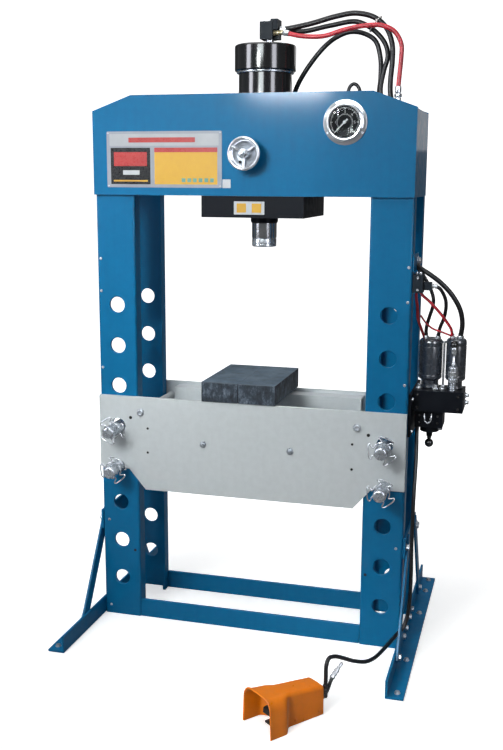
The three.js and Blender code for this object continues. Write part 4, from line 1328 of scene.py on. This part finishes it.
mesh = bmesh.new()
block(mesh, 525, 611, -75, 12, 722, 776.7, 2.6)
lathe(mesh, PUMP_AXIS, [(0, 702), (28, 702), (30, 704), (30, 721.9), (0, 721.9)], 72, 0.8)
disc(mesh, PUMP_AXIS, 9, 684.2, 701.9, 48, 0.6)
for z in (686, 689.5, 693, 696.5):
    lathe(mesh, PUMP_AXIS,
          [(8.9, z), (9.8, z + 0.7), (9.8, z + 1.5), (8.9, z + 2.2), (8.9, z)], 48, 0)
add("pump_body_skin", mesh, SATIN_BLACK, smooth=38, replaces="pump_body")

# relief knob: a ball hanging on a short neck
profile = [(0, 683.7), (7, 683.7), (7, 678), (5.4, 676)]
for k in range(14):
    a = radians(22 + (180 - 22) * k / 14)
    profile.append((14 * sin(a), 662 + 14 * cos(a)))
profile.append((0, 648))
turned("relief_knob_skin", PUMP_AXIS, profile, 64, 0, PLASTIC_BLACK,
       "knob", 50, "relief_knob")

# control lever: ball joint, rod and ferrule, then the ball on top
profile = [(0, 920.3)]
for k in range(1, 11):
    a = pi - pi * k / 14.5
    profile.append((7.7 * sin(a), 928 + 7.7 * cos(a)))
profile += [(4, 934.6), (4, 957), (6.4, 959), (7.5, 962), (8.6, 966), (9, 976), (8.2, 979),
            (0, 979)]
turned("control_lever_skin", LEVER_AXIS, profile, 56, 0, CHROME, "lever", 50,
       "control_lever")
profile = []
for k in range(17):
    a = pi * (1 - k / 16)
    profile.append((12 * sin(a), 988 + 12 * cos(a)))
turned("control_lever_ball", LEVER_AXIS, profile, 56, 0, PLASTIC_BLACK,
       "lever", 60)
mesh = bmesh.new()
hex_nut(mesh, LEVER_AXIS, 24, 884.5, 891)
lathe(mesh, LEVER_AXIS, [(14.1, 893), (15.2, 894), (15.2, 905), (14.1, 906), (14.1, 893)],
      56, 0.3)
add("control_valve_nut", mesh, CHROME)

# nuts, the rod between the motors, side fittings, mounting bolts and a wire loop
mesh = bmesh.new()
for x, y in ((535, -72), (584, -76), (607, -74)):
    hex_nut(mesh, upward(x, y), 17, ON_MANIFOLD, 851)
    lathe(mesh, upward(x, y), [(0, 851), (6.5, 851), (6.5, 858), (5.4, 860), (0, 860)],
          32, 0.4)
place = upward(604, -30)
disc(mesh, place, 3.6, 848, 990, 28, 0.3)
hex_nut(mesh, place, 11, 985, 991)
hex_nut(mesh, place, 13, ON_MANIFOLD, 849.5)
for z in (803, 826):
    place = to_right(MANIFOLD_RIGHT, -44, z)
    hex_nut(mesh, place, 17, 0, 6)
    lathe(mesh, place, [(0, 6), (6.2, 6), (6.2, 13), (4.5, 14.5), (0, 14.5)], 32, 0.4)
for y in (-112, 112):
    for z in (716, 817):
        socket_bolt(mesh, to_right(MOUNT_PLATE_X, y, z), 6, 5.5)
hex_nut(mesh, upward(602, -52), 15, 712, 721.8)
# U-shaped wire loop in front of the pump body
sweep(mesh, [
    (556, -80, 770), (557, -96, 768), (558, -100, 756), (560, -100, 748), (568, -100, 742),
    (576, -100, 748), (578, -100, 756), (579, -96, 768), (580, -80, 770),
], 2.4, 14, 6)
add("pump_fittings", mesh, CHROME, smooth=42)

mesh = bmesh.new()
for x, z in ((540, 760), (596, 760), (540, 738), (596, 738)):
    socket_bolt(mesh, to_front(x, -75, z), 4.2, 3.6)
for x in (533, 657):
    for z in (790, 830):
        socket_bolt(mesh, to_front(x, -95, z), 4.6, 4.0)
add("pump_black_screws", mesh, PLASTIC_BLACK, smooth=42)

# ---------------------------------------------------------------- valve above the pump
SIDE_UNION = to_right(566, -110, 1168)
BRACKET_X = 513.2
mesh = bmesh.new()
block(mesh, MOUNT_X, 541, -132, -88, 1148, 1202, 2.0)
block(mesh, 541.05, 566, -122, -98, 1156, 1180, 1.6)
add("side_valve_block_skin", mesh, SLATE, smooth=38,
    replaces="side_valve_block")
mesh = bmesh.new()
hex_nut(mesh, SIDE_UNION, 14, 0, 6)
disc(mesh, SIDE_UNION, 5, 6, 12, 28, 0.4)
for x in (520, 532):
    lathe(mesh, upward(x, -110),
          [(0, 1202), (4.6, 1202), (4.6, 1209), (3.4, 1210), (0, 1210)], 28, 0.4)
for z in (1157, 1193):
    socket_bolt(mesh, to_front(526, -132, z), 4.0, 3.4)
place = to_right(BRACKET_X, -40, 1237)
lathe(mesh, place, [(0, 0), (16, 0), (16, 2), (9.5, 2.5), (9.5, 9), (8, 10.5), (0, 10.5)],
      40, 0.5)
hex_nut(mesh, place, 24, 2, 7.5)
add("side_valve_fittings", mesh, CHROME, smooth=42)
mesh = bmesh.new()
prism(mesh, TO_YZ, [
    (-138, 1212), (-24, 1212), (-14, 1222), (-14, 1252), (-24, 1262), (-138, 1262),
], 510.45, BRACKET_X, 0.8)
for z in (1224, 1250):
    hex_nut(mesh, to_right(BRACKET_X, -126, z), 10, 0, 3.4)
add("side_line_bracket", mesh, FRAME_BLUE, smooth=38)

# ---------------------------------------------------------------- hoses
WEAVE = 0.006        # ripple of the braided hoses, as a share of the radius


def follow_carriage(obj):
    """Bakes the object's placement into its mesh, whose ends are in metres."""
    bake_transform(obj)


def hose(name, radius, points, material=HOSE_BLACK, weave=0.0, bends=False, replaces=None):
    mesh = bmesh.new()
    if weave:
        sweep(mesh, points, lambda length, t: radius * (1 + weave * sin(length * 1.9)))
    else:
        sweep(mesh, points, radius)
    obj = make_object(name, mesh, material, 60)
    if bends:
        follow_carriage(obj)
    else:
        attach(obj, "frame")
    if replaces:
        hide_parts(replaces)


# hoses from the valve block over to the right upright
hose("hose_top_main", 8, [
    (63, 0, 1936), (84, 0, 1938), (154, 2, 1950), (237, 4, 1970), (295, 7, 1977),
    (352, 9, 1963), (389, 11, 1931), (407, 13, 1885), (409, 15, 1839), (405, 15, 1780),
    (406, 14, 1740), (424, 6, 1660), (438, 0, 1600),
], weave=WEAVE, bends=True, replaces="hose_top")
hose("hose_top_second", 7.5, [
    (77, 15, 1938), (126, 18, 1931), (213, 24, 1946), (296, 27, 1955), (351, 29, 1926),
    (384, 31, 1887), (392, 33, 1852), (380, 36, 1806), (372, 38, 1746), (392, 38, 1690),
    (424, 36, 1640), (440, 34, 1590),
], weave=WEAVE, bends=True)
hose("hose_top_return", 7.5, [
    (66, 62, 1600), (80, 66, 1660), (90, 64, 1720), (97, 60, 1757), (129, 52, 1813),
    (188, 48, 1884), (228, 48, 1914), (270, 50, 1929), (312, 52, 1924), (349, 54, 1901),
    (366, 56, 1850), (368, 57, 1790), (366, 58, 1740), (392, 58, 1680), (428, 56, 1630),
    (444, 54, 1590),
], weave=WEAVE, bends=True)
hose("hose_top_red", 7, [
    (77, -14, 1925), (134, -20, 1912), (202, -20, 1910), (263, -19, 1926),
    (324, -18, 1936), (376, -16, 1936), (416, -14, 1918), (438, -12, 1881),
    (439, -11, 1843), (436, -11, 1800), (433, -12, 1757),
], HOSE_RED, bends=True)
hose("hose_top_red_lower", 7, [
    (433, -12, 1716), (434, -12, 1680), (440, -14, 1640), (444, -16, 1590),
], HOSE_RED)

# crimped ends: where, which way, hose radius
mesh = bmesh.new()
for where, direction, r in (((62, 0, 1936), (1, 0, 0.05), 8),
                            ((77.2, 15, 1938), (1, 0.05, -0.12), 7.5),
                            ((77.2, -14, 1925), (1, -0.1, -0.2), 7)):
    lathe(mesh, frame_at(where, direction), [
        (r * 0.6, -2), (r + 2.6, -2), (r + 2.6, 3), (r + 1.9, 4), (r + 2.4, 5),
        (r + 1.9, 6), (r + 2.4, 7), (r + 1.9, 8), (r + 2.2, 16), (r * 0.6 + 1, 17),
    ], 36, 0.3)
add("hose_top_crimps", mesh, CHROME, "carriage")

mesh = bmesh.new()
place = upward(433, -12)
lathe(mesh, place, [
    (0, 1712), (8.8, 1712), (9.6, 1714), (9.6, 1724), (7.4, 1725), (7.4, 1727), (0, 1727),
], 36, 0.4)
hex_nut(mesh, place, 20, 1727, 1737)
lathe(mesh, place, [
    (0, 1737), (7.6, 1737), (7.6, 1740), (9.6, 1741), (9.6, 1757), (8.6, 1759), (0, 1759),
], 36, 0.4)
add("hose_top_union", mesh, CHROME)


def cable_tie():
    """A strap round the two upper black hoses, with its lock on the front."""
    mesh = bmesh.new()
    centre = Vector((354.0, 19.0, 1945.0))
    slant = Vector((0.62, 0.0, 0.78)).normalized()
    strap = []
    for k in range(28):
        a = 2 * pi * k / 28
        strap.append(centre + slant * (27.5 * cos(a)) + Vector((0, 1, 0)) * (20.5 * sin(a)))
    sweep(mesh, strap, 1.6, 10, 0, closed=True)
    lock = centre + Vector((0, -20, 0)) + slant * 10
    prism(mesh, frame_at(lock, (0, -1, 0)),
          [(-3, -3.4), (3, -3.4), (3, 3.4), (-3, 3.4)], -2, 4, 0.5)
    obj = make_object("hose_top_tie", mesh, WHITE_PLASTIC, 50)
    follow_carriage(obj)


cable_tie()
# loops over the head's open top and down into the right upright
hose("hose_gauge", 5.5, [
    (299, -94, 1647), (299, -70, 1650), (303, 0, 1700), (307, 40, 1752), (298, 42, 1768),
    (288, 42, 1773), (278, 42, 1768), (271, 40, 1752), (270, 38, 1700), (300, 30, 1640),
    (380, 0, 1590), (430, -30, 1560), (446, -40, 1500), (448, -44, 1300),
])

# lines between the right upright, the side valve and the air motors
hose("hose_side_main", 7.5, [
    (438, 0, 1598), (440, -2, 1500), (446, -10, 1340), (468, -30, 1264), (515, -52, 1222),
    (558, -62, 1196), (588, -62, 1174), (622, -56, 1138), (648, -46, 1092),
    (656, -36, 1048), (652, -30, 1004.5),
], weave=WEAVE, replaces="hose_side")
hose("hose_side_second", 5.5, [
    (578, -110, 1168), (590, -104, 1160), (604, -86, 1132), (607, -68, 1104),
    (601, -52, 1066), (588, -36, 1030), (584, -30, 1001),
])
hose("hose_side_third", 5.5, [
    (500, -50, 1230), (530, -60, 1200), (558, -66, 1155), (568, -66, 1124),
    (566, -60, 1100), (556, -48, 1066), (547, -34, 1032), (546, -28, 1000),
])
hose("hose_side_red_left", 4.5, [
    (520, -110, 1147.9), (520, -104, 1130), (522, -84, 1100), (523, -64, 1062),
    (532, -44, 1028), (541, -30, 1000.5),
], HOSE_RED)
hose("hose_side_red_right", 4.5, [
    (534, -110, 1147.9), (540, -106, 1138), (557, -96, 1122), (587, -80, 1088),
    (610, -64, 1056), (624, -48, 1030), (628, -36, 1003.5),
], HOSE_RED)
hose("hose_side_red_thin", 3.0, [
    (530, -60, 1072), (548, -58, 1048), (566, -52, 1032), (584, -46, 1024),
    (600, -40, 1018), (620, -34, 1010), (632, -22, 1003.5),
], HOSE_RED)
mesh = bmesh.new()
for x, y, z, r in ((652, -30, 1004, 9), (584, -30, 1000, 7.5), (546, -28, 1000, 7.5),
                   (628, -36, 1003, 6.5)):
    hex_nut(mesh, upward(x, y), r * 2, z - 2, z + 5)
    lathe(mesh, upward(x, y),
          [(0, z + 5), (r - 1.2, z + 5), (r - 1.2, z + 12), (r - 2, z + 13), (0, z + 13)],
          32, 0.3)
disc(mesh, SIDE_UNION, 7.5, 10, 16, 32, 0.5)
add("hose_side_unions", mesh, CHROME)

# air lines to the foot pedal
hose("pedal_hose_main", 6, [
    (357.5, -585.5, 64), (358, -583, 100), (358, -578, 138), (362, -566, 153),
    (374, -543, 150), (393, -512, 133), (416, -468, 106), (444, -420, 84), (464, -372, 76),
    (480, -310, 74), (494, -255, 76), (509, -206, 82), (523, -180, 92), (534, -163, 124),
    (539, -155, 184), (540, -151, 260), (538, -148, 360), (538, -140, 500),
    (537, -96, 640), (533, -68, 700), (533, -66, 721.2),
], replaces="pedal_hose")
hose("pedal_hose_second", 5.4, [
    (356, -584, 50), (362, -579, 62), (368, -571, 82), (373, -562, 97),
])
mesh = bmesh.new()
place = frame_at((372.4, -563, 95.5), (0.42, 0.72, 0.62))
lathe(mesh, place, [
    (0, -2), (7.6, -2), (7.6, 6), (6.2, 7), (6.2, 20), (7.4, 21), (7.4, 27), (5.2, 28),
    (5.2, 36), (0, 36),
], 32, 0.4)
hex_nut(mesh, place, 14, 10, 16)
lathe(mesh, frame_at((388, -536, 118), (0.42, 0.72, 0.5)),
      [(0, 0), (4.6, 0), (4.6, 10), (3.8, 14), (0, 14)], 24, 0.3)
add("pedal_hose_connector", mesh, CHROME)

# ---------------------------------------------------------------- foot pedal
# In the pedal's own frame u runs across, v from the mouth (-) to the back (+).
PEDAL = Matrix.Translation((263.4, -659.1, 0)) @ Matrix.Rotation(-0.6821, 4, "Z")
MOUTH_V = -101
dress("pedal_base", SATIN_BLACK, 1.2)


def guard_top(v):
    if v <= -60:
        return 111 - 6 * (v + 101) / 41.0
    return 105 - 19 * (v + 60) / 167.0


def guard_section(v, grow=0.0):
    """(u, z) of the arch at v: wide at the mouth, narrow behind it, leaning in to the top.
    `grow` moves it outwards."""
    t = min(1.0, max(0.0, (v + 50) / 34.0))
    mouth = 1.0 - t * t * (3 - 2 * t)
    base_half = 37.0 + 27.5 * mouth + grow
    top_half = 36.0 + 23.0 * mouth + grow
    corner = 12 + 22 * mouth + grow * 0.5
    height = guard_top(v) + grow
    right = []
    for t in (0.0, 0.12, 0.3, 0.5, 0.75, 1.0):
        z = 0.8 + (height - corner - 0.8) * t
        right.append((base_half + (top_half - base_half) * z / height, z))
    spring = base_half + (top_half - base_half) * (height - corner) / height
    for k in range(1, 9):
        a = pi / 2 * k / 8
        right.append((spring - corner * 0.92 + corner * 0.92 * cos(a),
                      height - corner + corner * sin(a)))
    crown_half = right[-1][0]
    crown = [(crown_half * (1 - k / 3.0), height + 0.8 * sin(pi * k / 6.0))
             for k in range(1, 6)]
    return [(-u, z) for u, z in right + crown] + list(reversed(right))


def pedal_guard():
    mesh = bmesh.new()
    stations = [MOUTH_V, -97, -90, -80, -70, -60, -52, -46, -41, -37, -33, -29, -25, -20,
                -14, -4, 10, 30, 52, 74, 92, 106.8]
    rings = []
    for v in stations:
        rings.append([mesh.verts.new((PEDAL @ Vector((u, v, z))) * MM)
                      for u, z in guard_section(v)])
    for a, b in zip(rings, rings[1:]):
        for i in range(len(a) - 1):
            mesh.faces.new((a[i], a[i + 1], b[i + 1], b[i]))
    mesh.faces.new(rings[-1])
    back = set(rings[-1])
    edges = [e for e in mesh.edges
             if e.verts[0] in back and e.verts[1] in back and len(e.link_faces) == 2]
    bmesh.ops.recalc_face_normals(mesh, faces=mesh.faces)
    bmesh.ops.bevel(mesh, geom=edges, offset=0.007, segments=5, profile=0.5,
                    affect="EDGES", clamp_overlap=True)
    obj = make_object("pedal_guard_skin", mesh, GUARD_ORANGE)
    wall = obj.modifiers.new("wall", "SOLIDIFY")
    wall.thickness = 0.0025
    wall.offset = -1
    wall.use_even_offset = True
    bake(obj)
    round_edges(obj, 0.8, 2, 50)
    register(obj, replaces="pedal_guard")


pedal_guard()
# rolled lip along the mouth
mesh = bmesh.new()
lip = [PEDAL @ Vector((u, MOUTH_V, max(2.2, z))) for u, z in guard_section(MOUTH_V, 0.6)]
sweep(mesh, lip, 2.5, 14, 3)
add("pedal_guard_lip", mesh, GUARD_ORANGE, smooth=60)
mesh = bmesh.new()
for side in (-1, 1):
    for v in (4, 88):
        lathe(mesh, PEDAL @ frame_at((side * 36.8, v, 15), (side, 0, 0)),
              [(0, -0.5), (4.6, -0.5), (4.4, 0.9), (3.2, 2.2), (1.4, 2.6), (0, 2.7)],
              28, 0.2)
add("pedal_guard_rivets", mesh, GUARD_ORANGE)
mesh = bmesh.new()
prism(mesh, PEDAL, [(-24, -57), (24, -57), (24, -30.4), (-24, -30.4)], 0.2, 6, 1.2)
add("pedal_toe_stop", mesh, RUBBER_BLACK)
mesh = bmesh.new()
place = PEDAL @ to_rear(26.6, 106.6, 52)
hex_nut(mesh, place, 17, 0, 4.5)
disc(mesh, place, 5.6, 4.5, 12, 28, 0.4)
lathe(mesh, frame_at((357.2, -586.0, 44), (0.01, 0.04, 1)), [
    (0, 0), (6.6, 0), (7.4, 1), (7.4, 14), (6.6, 15), (8.6, 16), (8.6, 24), (7.2, 25),
    (7.7, 26), (7.2, 27), (7.7, 28), (7.2, 29), (7.5, 37), (6.3, 38), (0, 38),
], 32, 0.3)
add("pedal_fittings", mesh, PLASTIC_BLACK)

# treadle: a plate drawn in (v, z), with cross ribs and a round pivot
mesh = bmesh.new()
prism(mesh, PEDAL @ TO_YZ, [
    (-62, 31), (-59, 28), (-56, 31), (-54, 37), (28, 44), (33, 43.2), (38, 45.4), (41, 50),
    (38, 54.6), (33, 56.8), (28, 55), (-56, 47), (-60.5, 44.5),
], -27, 27, 1.2, 3)
for k in range(7):
    v = -50 + k * 11.5
    z = 47 + (v + 56) * 8 / 84.0
    rib = [(v - 1.6, z - 0.6), (v + 1.6, z - 0.3), (v + 1.1, z + 1.8), (v - 1.1, z + 1.6)]
    prism(mesh, PEDAL @ TO_YZ, rib, -24.5, 24.5, 0.4)
disc(mesh, PEDAL @ to_right(0, 35, 50), 4, -34, 34, 32, 0.5)
add("foot_pedal_skin", mesh, RUBBER_BLACK, "treadle", 38, "foot_pedal")


# ---------------------------------------------------------------- floor
def floor_material():
    """Pale floor that glows to the camera, more so far away, to melt into the background.
    It bounces less light than it shows."""
    near_glow, bounce = 0.50, 0.38
    material, tree, shader = new_material("floor_pale")
    pale = ramp(tree, noise(tree, scale=1.4, detail=4.0, rough=0.5),
                (0.3, (0.86, 0.865, 0.87, 1)), (0.7, (0.90, 0.90, 0.90, 1)))
    to_camera = node(tree, "ShaderNodeLightPath").outputs["Is Camera Ray"]
    where = node(tree, "ShaderNodeTexCoord").outputs["Object"]
    axes = node(tree, "ShaderNodeSeparateXYZ", {0: where}).outputs
    far = calc(tree, "MULTIPLY_ADD", axes["Y"], 0.30, -0.15, clamp=True)
    distance = node(tree, "ShaderNodeVectorMath", {0: where}, operation="LENGTH")
    outer = calc(tree, "MULTIPLY_ADD", distance.outputs["Value"], 0.45, -0.95, clamp=True)
    far = calc(tree, "MAXIMUM", far, outer)
    rise = calc(tree, "MULTIPLY_ADD", axes["Z"], 0.5, calc(tree, "ADD", far, near_glow))
    rise = calc(tree, "MINIMUM", rise, 1.0)
    glow = calc(tree, "MULTIPLY", to_camera, rise)
    dim = calc(tree, "MULTIPLY_ADD", to_camera, 1 - bounce, bounce)
    color = mix_color(tree, dim, (0, 0, 0, 1), pale)
    fine = noise(tree, scale=90.0, detail=3.0, rough=0.5)
    set_inputs(tree, shader, {
        "Base Color": color,
        "Roughness": 0.55,
        "Specular IOR Level": 0.2,
        "Emission Color": (1, 1, 1, 1),
        "Emission Strength": glow,
        "Normal": bump(tree, fine, strength=0.04, distance=0.001),
    })
    return material


def floor():
    """A sheet that curves up into a back wall, metres."""
    mesh = bmesh.new()
    bend_y, bend_radius = 4.2, 2.2
    profile = [(-9.0, 0.0)]
    for k in range(13):
        a = pi / 2 * k / 12
        profile.append((bend_y + bend_radius * sin(a), bend_radius - bend_radius * cos(a)))
    profile.append((6.4, 9.0))
    rows = [[mesh.verts.new((x, y, z)) for x in (-14.0, 14.0)] for y, z in profile]
    for a, b in zip(rows, rows[1:]):
        mesh.faces.new((a[0], a[1], b[1], b[0]))
    data = bpy.data.meshes.new("floor")
    mesh.to_mesh(data)
    mesh.free()
    data.transform(SHIFT)
    obj = bpy.data.objects.new("floor", data)
    bpy.context.scene.collection.objects.link(obj)
    data.materials.append(floor_material())
    for face in data.polygons:
        face.use_smooth = True


floor()

# ---------------------------------------------------------------- lights, metres
CAMERA = Vector((0.8589816, -3.1700879, 1.4846032))


def area(name, place, target, size, radiance, color=(1, 1, 1), spread=None, hidden=()):
    """A rectangular lamp of (width, height). Spread in degrees; `hidden` names the kinds
    of ray that miss it."""
    data = bpy.data.lights.new(name, "AREA")
    data.shape = "RECTANGLE"
    data.size, data.size_y = size
    data.energy = radiance * pi * size[0] * size[1]
    data.color = color
    if spread:
        data.spread = radians(spread)
    lamp = bpy.data.objects.new(name, data)
    lamp.location = SHIFT @ Vector(place)
    lamp.rotation_mode = "QUATERNION"
    aim = Vector(target) - Vector(place)
    lamp.rotation_quaternion = aim.to_track_quat("-Z", "Y")
    bpy.context.scene.collection.objects.link(lamp)
    for ray in hidden:
        setattr(lamp, "visible_" + ray, False)


def around(degrees, distance, z):
    """A spot at a bearing from the cylinder: 0 towards the camera, negative to the left
    of that as the camera sees it."""
    axis_x = CYL_X * MM
    out = Vector((CAMERA.x - axis_x, CAMERA.y, 0)).normalized()
    out.rotate(Quaternion((0, 0, 1), radians(degrees)))
    return (axis_x + out.x * distance, out.y * distance, z)


# three soft boxes that only show as reflections
area("strip_left", around(-65, 3.6, 2.2), target=(0.0, 0, 1.7), size=(1.05, 2.6),
     radiance=9.0, color=(0.90, 0.91, 1.0), hidden=["diffuse"])
area("strip_middle", around(-19, 4.4, 2.85), target=(0.0, 0, 1.8), size=(1.6, 1.3),
     radiance=10.0, color=(0.90, 0.98, 1.0), hidden=["diffuse"])
area("strip_right", around(32, 3.6, 2.2), target=(0.0, 0, 1.7), size=(1.0, 2.6),
     radiance=7.5, color=(0.90, 0.91, 1.0), hidden=["diffuse"])
# a small bright box mirrored along the head's top edge
area("sheen_head", (-0.47, -2.6, 2.02), target=(0.13, -0.15, 1.76), size=(0.42, 0.2),
     radiance=70.0, color=(0.96, 0.99, 1.0), hidden=["diffuse"])
area("pedal_soft", (-0.35, -2.7, 1.3), target=(0.26, -0.66, 0.06), size=(0.6, 0.6),
     radiance=0.7, color=(1.0, 0.98, 0.95), spread=24, hidden=["glossy"])
# a white card behind, for reflections on the right-hand side
area("card_behind", (1.0, 3.3, 2.3), target=(0.5, 0, 1.7), size=(1.4, 1.3),
     radiance=0.75, hidden=["diffuse", "camera"])
area("key_soft", (-0.85, -2.45, 2.37), target=(-0.24, 0, 1.16), size=(1.0, 0.85),
     radiance=3.45, color=(0.97, 1.0, 0.99), spread=66, hidden=["glossy"])
area("fill_soft", (-1.7, -3.2, 2.3), target=(0, 0, 1.1), size=(2.0, 2.6),
     radiance=1.0, color=(0.97, 1.0, 1.0), hidden=["glossy"])
area("top_soft", (-0.7, -0.4, 4.6), target=(-0.2, 0.2, 0), size=(4.0, 4.0), radiance=1.8)
area("back_soft", (0.9, 3.6, 3.2), target=(0, 0, 0.9), size=(3.0, 2.0),
     radiance=2.6, hidden=["glossy", "camera"])

# the background is bright to the camera and dim as a light
world = bpy.data.worlds.new("room")
world.use_nodes = True
tree = world.node_tree
light_path = node(tree, "ShaderNodeLightPath")
strength = calc(tree, "MULTIPLY_ADD", light_path.outputs["Is Camera Ray"], 0.84, 0.18)
set_inputs(tree, tree.nodes["Background"], {
    "Color": (0.96, 0.98, 1.0, 1),
    "Strength": strength,
})
bpy.context.scene.world = world

# ---------------------------------------------------------------- camera
camera_data = bpy.data.cameras.new("camera")
camera_data.sensor_width = 36.0
camera_data.lens = 48.37797
camera_data.clip_start = 0.05
camera_data.clip_end = 60
camera = bpy.data.objects.new("camera", camera_data)
bpy.context.scene.collection.objects.link(camera)
# columns: the camera's right, up and backward axes, then its place
camera.matrix_world = SHIFT @ Matrix((
    (0.9628608656, -0.0561449412, 0.2640960034, CAMERA.x),
    (0.2699585394, 0.1834578361, -0.9452330979, CAMERA.y),
    (0.0046195754, 0.9814229302, 0.1918011772, CAMERA.z),
    (0, 0, 0, 1),
))
bpy.context.scene.camera = camera
view = bpy.context.scene.view_settings
view.view_transform = "Standard"
view.look = "None"
view.exposure = 0.0
view.gamma = 1.0
